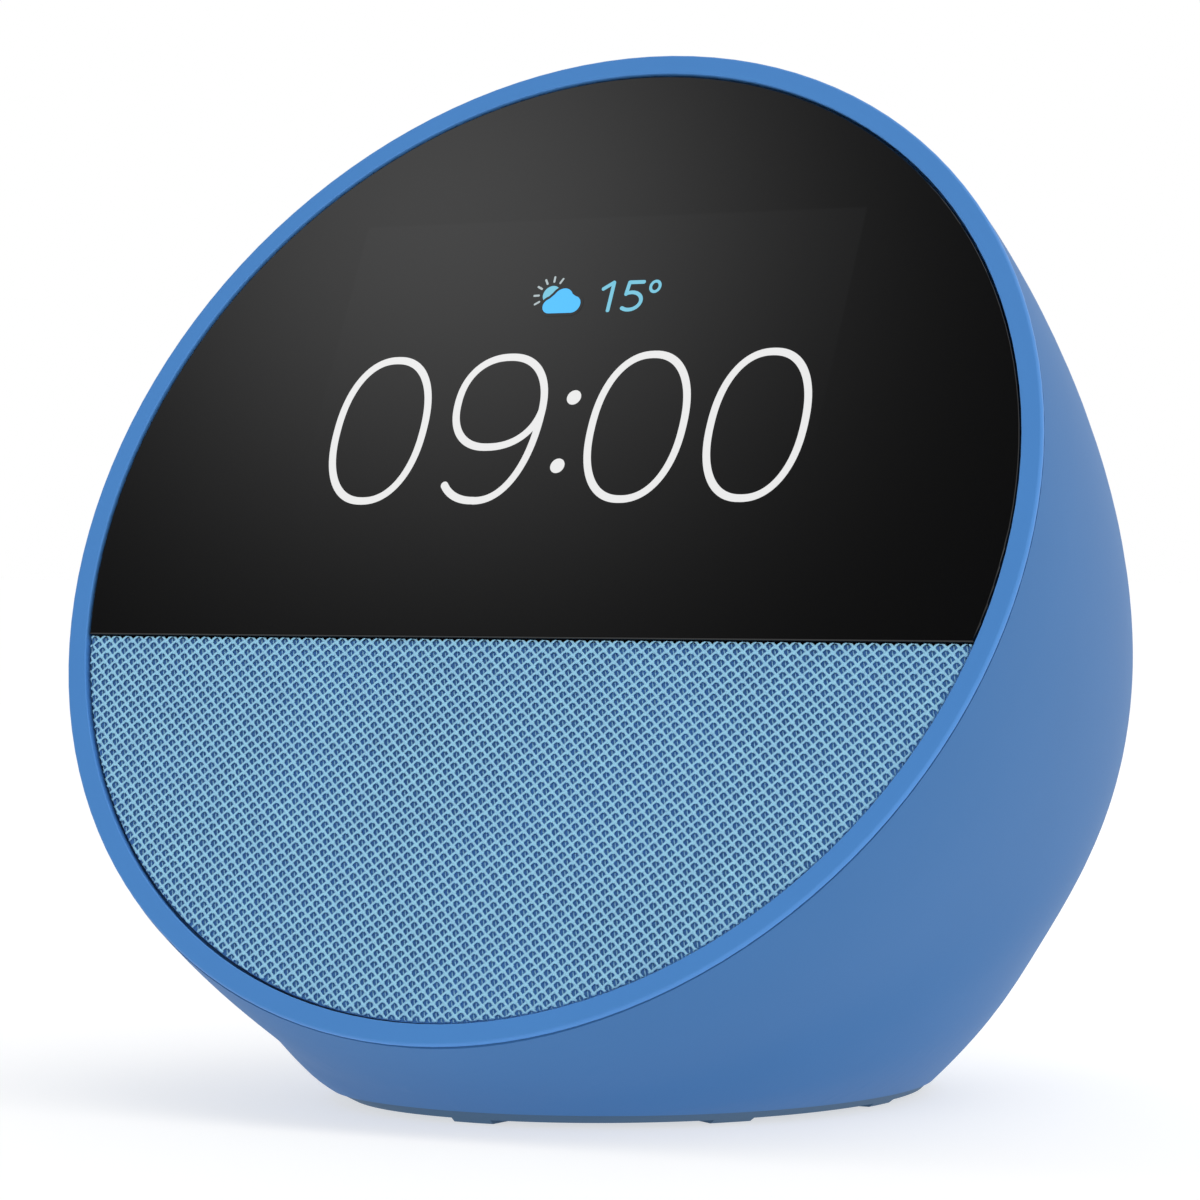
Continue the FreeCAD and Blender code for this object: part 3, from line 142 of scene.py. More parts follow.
def link(tree, start, end):
    tree.links.new(start, end)


def maths(tree, operation, first, second=None):
    """A Math node whose inputs are sockets or numbers."""
    node = tree.nodes.new("ShaderNodeMath")
    node.operation = operation
    for place, value in enumerate((first, second)):
        if isinstance(value, bpy.types.NodeSocket):
            link(tree, value, node.inputs[place])
        elif value is not None:
            node.inputs[place].default_value = value
    return node.outputs[0]


def dotted(tree, vector, direction):
    """Reach of a vector socket along a fixed direction."""
    node = tree.nodes.new("ShaderNodeVectorMath")
    node.operation = "DOT_PRODUCT"
    link(tree, vector, node.inputs[0])
    node.inputs[1].default_value = direction
    return node.outputs["Value"]


def ramp(tree, value, start, end, low=0.0, high=1.0):
    """Smooth step of a socket from low at start to high at end."""
    node = tree.nodes.new("ShaderNodeMapRange")
    node.interpolation_type = "SMOOTHSTEP"
    link(tree, value, node.inputs["Value"])
    node.inputs["From Min"].default_value = start
    node.inputs["From Max"].default_value = end
    node.inputs["To Min"].default_value = low
    node.inputs["To Max"].default_value = high
    return node.outputs["Result"]


world = bpy.data.worlds.new("studio")
world.use_nodes = True
scene.world = world
room = world.node_tree
sky = room.nodes["Background"]
sky.inputs["Color"].default_value = (1, 1, 1, 1)
way = room.nodes.new("ShaderNodeTexCoord").outputs["Generated"]
walls = ramp(room, dotted(room, way, SCREEN_AT), math.cos(math.radians(SCREEN_ANGLE)),
             math.cos(math.radians(SCREEN_FADED)), SCREEN, ROOM)
off_glow = maths(room, "SUBTRACT", dotted(room, way, GLOW_AT), 1.0)
glow = maths(room, "EXPONENT", maths(room, "DIVIDE", off_glow, GLOW_SPREAD))
link(room, maths(room, "ADD", walls, maths(room, "MULTIPLY", glow, GLOW)), sky.inputs["Strength"])
print("studio: white room with a dark screen and one glow")

# %% [markdown]
# ## Floor
# The floor is a wide white sheet of paper. It glows by itself a little, as paper on a
# light table does, which keeps it white and the object's shadow soft and pale. One large
# lamp above gives that shadow its direction.

# %% Floor and lamp
FLOOR_HALF = 12.0
PAPER = 0.465
PAPER_GLOW = 0.62
FIBRE_SIZE = 3.0
LAMP_AT = (0.2, 0.1, 1.1)
LAMP_AIM = (0, 0, 0.05)
LAMP_SIZE = 0.9
LAMP_POWER = 2.0


def plane_mesh(name, half):
    """Flat square on the floor."""
    mesh = bpy.data.meshes.new(name)
    corners = [(-half, -half, 0), (half, -half, 0), (half, half, 0), (-half, half, 0)]
    mesh.from_pydata(corners, [], [(0, 1, 2, 3)])
    return mesh


def simple_paint(name, colour, roughness):
    paint = bpy.data.materials.new(name)
    paint.use_nodes = True
    shader = paint.node_tree.nodes["Principled BSDF"]
    shader.inputs["Base Color"].default_value = (*colour, 1)
    shader.inputs["Roughness"].default_value = roughness
    return paint, paint.node_tree, shader


floor = bpy.data.objects.new("floor", plane_mesh("floor", FLOOR_HALF))
scene.collection.objects.link(floor)
paper, paper_tree, paper_shader = simple_paint("studio_paper", (PAPER, PAPER, PAPER), 0.9)
paper_shader.inputs["Specular IOR Level"].default_value = 0.1
fibres = paper_tree.nodes.new("ShaderNodeTexNoise")
fibres.inputs["Scale"].default_value = FIBRE_SIZE
link(paper_tree, ramp(paper_tree, fibres.outputs["Fac"], 0.2, 0.8, 0.99 * PAPER_GLOW, PAPER_GLOW),
     paper_shader.inputs["Emission Strength"])
paper_shader.inputs["Emission Color"].default_value = (1, 1, 1, 1)
floor.data.materials.append(paper)


def lamp(name, place, aim, size, power):
    """Square soft lamp that shines from one place at another."""
    light = bpy.data.lights.new(name, "AREA")
    light.size = size
    light.energy = power
    lamp_object = bpy.data.objects.new(name, light)
    facing = (Vector(aim) - Vector(place)).to_track_quat("-Z", "Y")
    lamp_object.matrix_world = Matrix.Translation(place) @ facing.to_matrix().to_4x4()
    scene.collection.objects.link(lamp_object)


lamp("lamp_above", LAMP_AT, LAMP_AIM, LAMP_SIZE, LAMP_POWER)
print("floor and one lamp")

# %% [markdown]
# ## Finishes
# Every solid part has a slot that says what it is made of, so one recipe for each slot
# finishes the whole object. Moulded plastic is never a flat colour: the mould is
# textured by spark erosion, which leaves a fine even grain, and the colour clouds a
# little. The grain is noise read from the part's own coordinates, used twice: as a
# slight change of colour and as a shallow bump. Some metals and the boards get stronger
# clouds in their colour.

# %% A recipe for moulded, pressed and printed parts
GRAIN_SIZE = 4500.0
CLOUD_SIZE = 60.0


def noise(tree, scale, detail=2.0):
    """Noise from the part's own coordinates, in turns per metre."""
    place = tree.nodes.new("ShaderNodeTexCoord")
    field = tree.nodes.new("ShaderNodeTexNoise")
    field.inputs["Scale"].default_value = scale
    field.inputs["Detail"].default_value = detail
    link(tree, place.outputs["Object"], field.inputs["Vector"])
    return field.outputs["Fac"]


def shade_of(tree, value, colour, depth):
    """The colour a little darker and lighter as the value goes from 0 to 1."""
    node = tree.nodes.new("ShaderNodeMix")
    node.data_type = "RGBA"
    link(tree, value, node.inputs["Factor"])
    node.inputs["A"].default_value = (*(c * (1 - depth) for c in colour), 1)
    node.inputs["B"].default_value = (*(min(1, c * (1 + depth)) for c in colour), 1)
    return node.outputs["Result"]


def bump_of(tree, value, height):
    node = tree.nodes.new("ShaderNodeBump")
    node.inputs["Strength"].default_value = 1.0
    node.inputs["Distance"].default_value = height
    link(tree, value, node.inputs["Height"])
    return node.outputs["Normal"]


def moulded(name, colour, roughness, grain=0.004, clouds=0.03, metal=0.0, specular=0.5):
    """Plastic, rubber, board or metal with clouds of colour and a fine grain."""
    paint, tree, shader = simple_paint(name, colour, roughness)
    shader.inputs["Metallic"].default_value = metal
    shader.inputs["Specular IOR Level"].default_value = specular
    link(tree, shade_of(tree, noise(tree, CLOUD_SIZE), colour, clouds), shader.inputs["Base Color"])
    link(tree, bump_of(tree, noise(tree, GRAIN_SIZE), grain * MM), shader.inputs["Normal"])
    return paint


RING_BLUE = (0.084, 0.280, 0.680)
SHELL_BLUE = (0.056, 0.180, 0.425)
FOOT_BLUE = (0.065, 0.138, 0.240)

finishes = {
    "ring_blue": moulded("ring_finish", RING_BLUE, 0.42, grain=0.002, specular=0.22),
    "housing_blue": moulded("shell_finish", SHELL_BLUE, 0.55, grain=0.003, specular=0.18),
    "button_blue": moulded("button_finish", SHELL_BLUE, 0.45, grain=0.002, specular=0.22),
    "foot_blue_grey": moulded("foot_rubber", FOOT_BLUE, 0.65, grain=0.006, specular=0.2),
    "dark_plastic": moulded("black_nylon", (0.018, 0.019, 0.021), 0.50, grain=0.006),
    "grille_steel": moulded("grille_paint", (0.012, 0.035, 0.075), 0.45, grain=0.004),
    "bright_steel": moulded("plated_steel", (0.60, 0.60, 0.58), 0.28, clouds=0.06, metal=1.0),
    "screw_steel": moulded("screw_zinc", (0.42, 0.42, 0.43), 0.35, clouds=0.08, metal=1.0),
    "aluminium_sheet": moulded("cast_aluminium", (0.72, 0.72, 0.74), 0.45, grain=0.01, metal=1.0),
    "magnet": moulded("plated_magnet", (0.50, 0.49, 0.46), 0.30, metal=1.0),
    "copper": moulded("coil_wire", (0.70, 0.30, 0.12), 0.30, clouds=0.1, metal=1.0),
    "board_green": moulded("solder_mask", (0.012, 0.110, 0.045), 0.35, clouds=0.15),
    "chip_black": moulded("chip_resin", (0.016, 0.016, 0.017), 0.55, grain=0.006),
    "connector_cream": moulded("connector_nylon", (0.72, 0.66, 0.54), 0.45, clouds=0.04),
    "black_rubber": moulded("moulded_rubber", (0.014, 0.014, 0.015), 0.70, grain=0.006),
    "black_foam": moulded("cell_foam", (0.020, 0.020, 0.022), 0.95, grain=0.05, clouds=0.3),
    "lead_black": moulded("lead_cover", (0.018, 0.018, 0.019), 0.45),
    "flex_amber": moulded("flex_film", (0.42, 0.18, 0.03), 0.30, clouds=0.12),
    "pad_grey": moulded("thermal_putty", (0.33, 0.34, 0.36), 0.85, grain=0.01, clouds=0.08),
    "spider_cloth": moulded("dipped_cloth", (0.50, 0.34, 0.15), 0.90, grain=0.05, clouds=0.2),
    "cone_paper": moulded("pressed_paper", (0.030, 0.030, 0.032), 0.85, grain=0.03, clouds=0.3),
    "adhesive": moulded("film_adhesive", (0.030, 0.030, 0.032), 0.40, clouds=0.05),
    "panel_dark": moulded("panel_film", (0.010, 0.010, 0.012), 0.15, grain=0.0005),
}
print("finishes:", len(finishes))

# %% [markdown]
# ## Cover glass
# The glass is clear, with a black print behind it that leaves a window for the display.
# With the display almost dark the two look like one black sheet, and only a slight
# glimmer gives the lit rectangle away. So one opaque black finish with a polished
# surface does both. A faint light inside the window's rectangle, stronger towards its
# top, stands for the panel's own glow.

# %% Black glass with a faint window
WINDOW_HALF = 30.41 * MM
WINDOW_TOP = 36.80 * MM
WINDOW_LOW = 3.0 * MM
WINDOW_GLOW = 0.0032
SOFT_EDGE = 0.12 * MM

glass, glass_tree, glass_shader = simple_paint("black_glass", (0.0022, 0.0022, 0.0024), 0.05)
glass_shader.inputs["IOR"].default_value = 1.50
glass_shader.inputs["Emission Color"].default_value = (0.95, 0.97, 1.0, 1)
spot = glass_tree.nodes.new("ShaderNodeTexCoord").outputs["Object"]
across = maths(glass_tree, "ABSOLUTE", dotted(glass_tree, spot, RIGHT))
height = dotted(glass_tree, spot, SLOPE)
middle = CENTRE.dot(SLOPE)
inside = ramp(glass_tree, across, WINDOW_HALF - SOFT_EDGE, WINDOW_HALF + SOFT_EDGE, 1, 0)
under = ramp(glass_tree, height, middle + WINDOW_TOP - SOFT_EDGE,
             middle + WINDOW_TOP + SOFT_EDGE, 1, 0)
fading = ramp(glass_tree, height, middle + WINDOW_LOW, middle + WINDOW_TOP, 0, WINDOW_GLOW)
lit = maths(glass_tree, "MULTIPLY", maths(glass_tree, "MULTIPLY", inside, under), fading)
link(glass_tree, lit, glass_shader.inputs["Emission Strength"])
finishes["glass_black"] = glass
print(f"window {2 * WINDOW_HALF / MM:.1f} mm wide")

# %% [markdown]
# ## Finishing the solid parts
# Each solid part names the kind of surface it has. The finishes go straight onto the
# parts' own slots, so nothing about their shape changes. The cover's plain block is left
# out, because the knitted cover takes its place.

# %% Put the finishes on the solid parts
slot_of = {part["node"]: part["material_slot"] for part in frame["record"]["subparts"]}
for node, part in nodes.items():
    if slot_of[node] in finishes:
        for index in range(len(part.data.materials)):
            part.data.materials[index] = finishes[slot_of[node]]
print("finished:", sum(slot in finishes for slot in slot_of.values()), "of", len(slot_of))

# %% [markdown]
# ## The speaker's cover
# The cover is a warp-knitted mesh: rows of loops that lean left and right in turn and
# leave an even net of small rounded openings, stretched over a perforated plate and
# wrapped round its edge. A picture of a net on a flat sheet would look printed, so here
# the loops are real. Geometry Nodes repeat one stitch over the whole face of the cover:
# a grid of points is shifted row by row, points off the cover are dropped, a stitch is
# placed on each, and whatever passes the edge is folded back round it. A dark scrim lies
# behind the loops and closes the openings.

# %% One stitch of the knit
STITCH = 1.443 * MM
COURSE = 0.621 * MM
YARN_R = 0.138 * MM
YARN_FLATNESS = 0.8
LEAN_STEPS = 4
INNER_YARN = 0.5          # inner loop's yarn over the net's
KNOT_HALF_X = 0.34 * MM
KNOT_HALF_U = 0.25 * MM
KNOT_SIDES = 8
KNOT_RINGS = ((1.0, -0.7), (0.92, 0.1), (0.5, 0.72))
KNOT_CROWN = 0.86
CROSSING = 0.05 * MM
BOW = 0.05


def strand(path, radius, sides=5):
    """Tube of yarn along a short path, as points and faces."""
    points, faces = [], []
    for step, here in enumerate(path):
        before = path[max(step - 1, 0)]
        after = path[min(step + 1, len(path) - 1)]
        along = (after - before).normalized()
        flank = along.cross(Vector((0, 0, 1))).normalized()
        crown = flank.cross(along)
        for side in range(sides):
            angle = 2 * math.pi * side / sides + math.pi / 2
            rise = crown * (math.sin(angle) * radius * YARN_FLATNESS)
            points.append(here + flank * (math.cos(angle) * radius) + rise)
    for step in range(len(path) - 1):
        for side in range(sides):
            one = step * sides + side
            two = step * sides + (side + 1) % sides
            faces.append((one, two, two + sides, one + sides))
    last = (len(path) - 1) * sides
    faces.append(tuple(range(sides))[::-1])
    faces.append(tuple(range(last, last + sides)))
    return points, faces


def merged(parts):
    """One list of points and faces from several."""
    points, faces = [], []
    for some_points, some_faces in parts:
        start = len(points)
        points += some_points
        faces += [tuple(i + start for i in face) for face in some_faces]
    return points, faces


def lean(side):
    """Upper edge of one opening: a strand that bows round the opening to the next course."""
    path = []
    for step in range(LEAN_STEPS + 1):
        t = step / LEAN_STEPS
        bow = BOW * math.sin(math.pi * t)
        x = side * STITCH * 0.5 * (1 - t + bow)
        u = COURSE * (t + bow)
        w = side * CROSSING * math.cos(math.pi * t)
        path.append(Vector((x, u, w)))
    return strand(path, YARN_R)


def inner_loop():
    """Thin slanted strand seen inside an opening, lower than the net."""
    path = [Vector((-0.14, 0.36, -0.20)) * MM, Vector((0.0, 0.02, -0.14)) * MM,
            Vector((0.13, -0.36, -0.20)) * MM]
    return strand(path, YARN_R * INNER_YARN, sides=4)


def knot():
    """Flattened lump where four strands meet, beside the opening."""
    sides = KNOT_SIDES
    points, faces = [], []
    for share, level in KNOT_RINGS:
        for side in range(sides):
            angle = 2 * math.pi * side / sides
            points.append(Vector((STITCH / 2 + share * KNOT_HALF_X * math.cos(angle),
                                  share * KNOT_HALF_U * math.sin(angle), level * YARN_R)))
    points.append(Vector((STITCH / 2, 0, KNOT_CROWN * YARN_R)))
    for ring in range(len(KNOT_RINGS) - 1):
        for side in range(sides):
            one = ring * sides + side
            two = ring * sides + (side + 1) % sides
            faces.append((one, two, two + sides, one + sides))
    top = (len(KNOT_RINGS) - 1) * sides
    faces += [(top + side, top + (side + 1) % sides, len(points) - 1) for side in range(sides)]
    faces.append(tuple(range(sides))[::-1])
    return points, faces


stitch_points, stitch_faces = merged([lean(-1), lean(1), inner_loop(), knot()])
print("one stitch:", len(stitch_points), "points")

# %% [markdown]
# ## Knitting
# On a knitting machine every loop is the same, and the fabric is what comes of repeating
# it row by row. The tree below does the same, and its named inputs are what a machine
# would be set to: the width, the spacings, and how uneven the loops come out.

# %% Geometry Nodes that knit the cover
FIRST_COURSE = 0.75       # first row of openings below the top edge, in courses
OVERHANG = 0.6            # stitches kept past the round edge, in courses
FOLD_DEPTH = 0.25 * MM


def knit_tree():
    """Repeats a stitch over the cover and folds the edges back."""
    tree = bpy.data.node_groups.new("knit_cover", "GeometryNodeTree")
    tree.interface.new_socket("Stitch", in_out="INPUT", socket_type="NodeSocketGeometry")
    for label, value in (("Width", 0.1), ("Stitch spacing", 0.001), ("Course spacing", 0.001),
                         ("Edge radius", 0.05), ("Top edge", 0.0), ("From", -1.0), ("To", 1.0),
                         ("Unevenness", 0.0)):
        socket = tree.interface.new_socket(label, in_out="INPUT", socket_type="NodeSocketFloat")
        socket.default_value = value
    seed = tree.interface.new_socket("Seed", in_out="INPUT", socket_type="NodeSocketInt")
    seed.default_value = 7
    finish = tree.interface.new_socket("Yarn", in_out="INPUT", socket_type="NodeSocketMaterial")
    finish.default_value = None
    tree.interface.new_socket("Geometry", in_out="OUTPUT", socket_type="NodeSocketGeometry")
    start = tree.nodes.new("NodeGroupInput").outputs
    end = tree.nodes.new("NodeGroupOutput").inputs

    def sum_of(operation, first, second=None):
        return maths(tree, operation, first, second)

    def rows(spacing):
        return sum_of("ADD", sum_of("CEIL", sum_of("DIVIDE", start["Width"], spacing)), 1)

    grid = tree.nodes.new("GeometryNodeMeshGrid")
    columns, courses = rows(start["Stitch spacing"]), rows(start["Course spacing"])
    link(tree, columns, grid.inputs["Vertices X"])
    link(tree, courses, grid.inputs["Vertices Y"])
    index = tree.nodes.new("GeometryNodeInputIndex").outputs[0]
    course = sum_of("MODULO", index, courses)
    column = sum_of("FLOOR", sum_of("DIVIDE", index, courses))
    half_shift = sum_of("MULTIPLY", sum_of("MODULO", course, 2), 0.5)
    from_middle = sum_of("SUBTRACT", sum_of("ADD", column, half_shift),
                         sum_of("FLOOR", sum_of("DIVIDE", columns, 2)))
    x = sum_of("MULTIPLY", from_middle, start["Stitch spacing"])
    drop = sum_of("MULTIPLY", sum_of("ADD", course, FIRST_COURSE), start["Course spacing"])
    u = sum_of("SUBTRACT", start["Top edge"], drop)
    spots = tree.nodes.new("ShaderNodeCombineXYZ")
    link(tree, x, spots.inputs[0])
    link(tree, u, spots.inputs[1])

    uneven = tree.nodes.new("FunctionNodeRandomValue")
    uneven.data_type = "FLOAT_VECTOR"
    spread_of = tree.nodes.new("ShaderNodeCombineXYZ")
    for place in (0, 1):
        link(tree, start["Unevenness"], spread_of.inputs[place])
    less = tree.nodes.new("ShaderNodeVectorMath")
    less.operation = "SCALE"
    less.inputs["Scale"].default_value = -1
    link(tree, spread_of.outputs[0], less.inputs[0])
    link(tree, less.outputs[0], uneven.inputs["Min"])
    link(tree, spread_of.outputs[0], uneven.inputs["Max"])
    link(tree, start["Seed"], uneven.inputs["Seed"])

    laid = tree.nodes.new("GeometryNodeSetPosition")
    link(tree, grid.outputs["Mesh"], laid.inputs["Geometry"])
    link(tree, spots.outputs[0], laid.inputs["Position"])
    link(tree, uneven.outputs[0], laid.inputs["Offset"])

    off_round = sum_of("SUBTRACT", sum_of("SQRT", sum_of(
        "ADD", sum_of("MULTIPLY", x, x), sum_of("MULTIPLY", u, u))), start["Edge radius"])
    off = sum_of("GREATER_THAN", off_round, sum_of("MULTIPLY", start["Course spacing"], OVERHANG))
    left = sum_of("LESS_THAN", x, start["From"])
    beyond = sum_of("GREATER_THAN", x, start["To"])
    drop_it = tree.nodes.new("GeometryNodeDeleteGeometry")
    link(tree, laid.outputs[0], drop_it.inputs["Geometry"])
    link(tree, sum_of("ADD", sum_of("ADD", off, left), beyond), drop_it.inputs["Selection"])

    placed = tree.nodes.new("GeometryNodeInstanceOnPoints")
    link(tree, drop_it.outputs[0], placed.inputs["Points"])
    link(tree, start["Stitch"], placed.inputs["Instance"])
    whole = tree.nodes.new("GeometryNodeRealizeInstances")
    link(tree, placed.outputs[0], whole.inputs[0])

    here = tree.nodes.new("GeometryNodeInputPosition").outputs[0]
    parts = tree.nodes.new("ShaderNodeSeparateXYZ")
    link(tree, here, parts.inputs[0])
    px, pu, pw = parts.outputs
    over_top = sum_of("MAXIMUM", sum_of("SUBTRACT", pu, start["Top edge"]), 0)
    pu = sum_of("MINIMUM", pu, start["Top edge"])
    radius = sum_of("SQRT", sum_of("ADD", sum_of("MULTIPLY", px, px), sum_of("MULTIPLY", pu, pu)))
    over_round = sum_of("MAXIMUM", sum_of("SUBTRACT", radius, start["Edge radius"]), 0)
    pull = sum_of("DIVIDE", sum_of("MINIMUM", radius, start["Edge radius"]), radius)
    folded = tree.nodes.new("ShaderNodeCombineXYZ")
    link(tree, sum_of("MULTIPLY", px, pull), folded.inputs[0])
    link(tree, sum_of("MULTIPLY", pu, pull), folded.inputs[1])
    depth = sum_of("MINIMUM", sum_of("ADD", over_top, over_round), FOLD_DEPTH)
    link(tree, sum_of("SUBTRACT", pw, depth), folded.inputs[2])
    fold = tree.nodes.new("GeometryNodeSetPosition")
    link(tree, whole.outputs[0], fold.inputs["Geometry"])
    link(tree, folded.outputs[0], fold.inputs["Position"])

    dressed = tree.nodes.new("GeometryNodeSetMaterial")
    link(tree, fold.outputs[0], dressed.inputs["Geometry"])
    link(tree, start["Yarn"], dressed.inputs["Material"])
    link(tree, dressed.outputs[0], end["Geometry"])
    return tree


cover_tree = knit_tree()
print("knitting tree:", len(cover_tree.nodes), "nodes")

# %% [markdown]
# ## Yarn
# The yarn is bright polyester, so it takes a soft sheen along its sides, and a fine
# twist shows as narrow darker lines. The scrim behind it is the same hue but dark.

# %% Yarn and scrim
YARN_BLUE = (0.340, 0.675, 1.000)
SHEEN_BLUE = (0.75, 0.88, 1.0)
FIBRE_GRAIN = 9000.0
YARN_CLOUDS = 500.0
YARN_SHADING = 0.22
YARN_BUMP = 0.02 * MM
SCRIM_BLUE = (0.075, 0.235, 0.560)


def yarn_finish():
    paint, tree, shader = simple_paint("yarn", YARN_BLUE, 0.75)
    shader.inputs["Specular IOR Level"].default_value = 0.25
    shader.inputs["Sheen Weight"].default_value = 0.25
    shader.inputs["Sheen Roughness"].default_value = 0.5
    shader.inputs["Sheen Tint"].default_value = (*SHEEN_BLUE, 1)
    both = maths(tree, "ADD", noise(tree, FIBRE_GRAIN, 1.0), noise(tree, YARN_CLOUDS, 1.0))
    value = maths(tree, "MULTIPLY", both, 0.5)
    link(tree, shade_of(tree, value, YARN_BLUE, YARN_SHADING), shader.inputs["Base Color"])
    link(tree, bump_of(tree, noise(tree, FIBRE_GRAIN, 1.0), YARN_BUMP), shader.inputs["Normal"])
    return paint


yarn = yarn_finish()
scrim_paint = moulded("scrim", SCRIM_BLUE, 0.9, grain=0.02, clouds=0.25)
print("yarn and scrim mixed")

# %% [markdown]
# ## From points to pieces
# The cover, the display's picture and the marks are all made of points and faces worked
# out here. These helpers turn them into pieces: one lays flat shapes on the tilted face,
# one gives an outline a thickness, and one closes the mesh and turns its faces outwards.

# %% Helpers that turn points into finished pieces
WELD = 1e-7


def put(name, points, faces, paint):
    """A mesh object at the origin from points in the object's own frame."""
    mesh = bpy.data.meshes.new(name)
    mesh.from_pydata([tuple(p) for p in points], [], faces)
    mesh.materials.append(paint)
    work = bmesh.new()
    work.from_mesh(mesh)
    bmesh.ops.remove_doubles(work, verts=work.verts, dist=WELD)
    bmesh.ops.recalc_face_normals(work, faces=work.faces)
    work.to_mesh(mesh)
    work.free()
    piece = bpy.data.objects.new(name, mesh)
    scene.collection.objects.link(piece)
    return piece


def on_face(points):
    return [TO_FACE @ Vector(p) for p in points]


def slab(outline, low, high):
    """Flat piece between two heights above the face's front, from its outline."""
    count = len(outline)
    points = [(x, u, low) for x, u in outline] + [(x, u, high) for x, u in outline]
    faces = [tuple(range(count))[::-1], tuple(range(count, 2 * count))]
    faces += [(i, (i + 1) % count, (i + 1) % count + count, i + count) for i in range(count)]
    return points, faces


print("helpers ready")

# %% [markdown]
# ## Scrim
# Behind the net lies a fine dark cloth that lets sound through and hides the plate. It is
# cut flat, a segment of a circle, and held tight at its edge, so a thin flat sheet with
# that outline is what it is on the real object too.

# %% The scrim, a sheet cut to the cover's outline
SCRIM_THICK = 0.08 * MM
SCRIM_LIFT = 0.02 * MM
SCRIM_INSET = 0.12 * MM
SCRIM_EDGE_INSET = 0.1 * MM
RIM_STEPS = 120

scrim_r = CLOTH_R - SCRIM_INSET
scrim_edge = CLOTH_EDGE - SCRIM_EDGE_INSET
half_angle = math.acos(-scrim_edge / scrim_r)
outline = [(scrim_r * math.sin(a), -scrim_r * math.cos(a))
           for a in (half_angle * (2 * i / RIM_STEPS - 1) for i in range(RIM_STEPS + 1))]
scrim_low = CLOTH_UNDER + SCRIM_LIFT
points, faces = slab(outline, scrim_low, scrim_low + SCRIM_THICK)
scrim = put("grille_scrim", on_face(points), faces, scrim_paint)

# %% [markdown]
# ## Knitted net
# The net is knitted in six strips, to keep each piece light. Their borders run between
# two columns of stitches, so no seam shows. All strips use the same seed, so loops on
# both sides of a border are shifted by the same rule. The strips lie over the scrim and
# move with it as one cover.

# %% Knit the net in strips
UNEVEN = 0.035 * MM
SEED = 7
STRIPS = 6
NET_INSET = 0.17 * MM
NET_EDGE_INSET = 0.02 * MM
BORDER_SHIFT = 0.25

net_r = CLOTH_R - NET_INSET
net_edge = CLOTH_EDGE - NET_EDGE_INSET
net_high = CLOTH_TOP - YARN_R * YARN_FLATNESS - CROSSING


def set_inputs(modifier, tree, values):
    """Sets a tree's named inputs on a modifier."""
    for socket in tree.interface.items_tree:
        if socket.in_out == "INPUT" and socket.name in values:
            modifier[socket.identifier] = values[socket.name]


def border(number):
    """Where two strips meet, always between two columns of stitches."""
    if number in (0, STRIPS):
        return (net_r + STITCH) * (1 if number else -1)
    column = round((2 * number / STRIPS - 1) * net_r / STITCH)
    return (column + BORDER_SHIFT) * STITCH


def knit_strip(number):
    """One strip of the net as a plain mesh on the face."""
    name = f"grille_net_{number + 1}"
    seedling = put(name + "_stitch", stitch_points, stitch_faces, yarn)
    modifier = seedling.modifiers.new("knit", "NODES")
    modifier.node_group = cover_tree
    set_inputs(modifier, cover_tree, {
        "Width": 2 * net_r + 4 * STITCH, "Stitch spacing": STITCH, "Course spacing": COURSE,
        "Edge radius": net_r, "Top edge": net_edge, "Unevenness": UNEVEN, "Seed": SEED,
        "From": border(number), "To": border(number + 1), "Yarn": yarn})
    seen = seedling.evaluated_get(bpy.context.evaluated_depsgraph_get())
    mesh = bpy.data.meshes.new_from_object(seen)
    seedling.modifiers.remove(modifier)
    bpy.data.objects.remove(seedling)
    mesh.transform(TO_FACE @ Matrix.Translation((0, 0, net_high)))
    mesh.shade_smooth()
    strip = bpy.data.objects.new(name, mesh)
    scene.collection.objects.link(strip)
    return strip


strips = [knit_strip(number) for number in range(STRIPS)]
for piece in strips + [scrim]:
    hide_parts("grille_fabric")
    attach(piece, "housing")
print("net faces:", [len(piece.data.polygons) for piece in strips])

# %% [markdown]
# ## What the display shows
# The display shows a clock in thin rounded strokes, a temperature and a small weather
# sign. Each stroke is a ribbon that follows a curve made of a few oval arcs, because
# such figures are drawn that way, and its ends are round. The ribbons are a hair's
# breadth above the glass and shine by themselves, so they stay bright in any light.

# %% Light for the strokes
DOT_GRAIN = 9000.0        # fine grain of the panel's own dots


def shining(name, colour, strength):
    paint, tree, shader = simple_paint(name, (0.02, 0.02, 0.02), 0.06)
    shader.inputs["Emission Color"].default_value = (*colour, 1)
    dots = noise(tree, DOT_GRAIN, 0.0)
    link(tree, ramp(tree, dots, 0.2, 0.8, strength * 0.97, strength),
         shader.inputs["Emission Strength"])
    return paint


clock_white = shining("clock_light", (1.0, 1.0, 1.0), 0.82)
sign_cyan = shining("sign_light", (0.06, 0.52, 1.00), 1.0)
pale_cyan = shining("pale_sign_light", (0.17, 0.55, 0.72), 1.0)
ray_grey = shining("ray_light", (0.42, 0.50, 0.52), 1.0)

# %% [markdown]
# ## Strokes
# A stroke starts as a line through its middle. Its two edges run half a width to each
# side of that line, and a half circle closes each end. The same ribbon serves the clock,
# the temperature and the marks on the buttons.

# %% Ribbons along oval arcs
CAP_STEPS = 10
CLOCK_U = 11.9
ZERO_HALF_WIDE = 5.42
ZERO_HALF_HIGH = 8.35
DOT_X = 0.9
DOT_U = (15.4, 7.45)
DOT_R = 0.84
INK_LOW = GLASS_TOP + 0.004 * MM
INK_HIGH = GLASS_TOP + 0.016 * MM
LAYER = 0.008 * MM


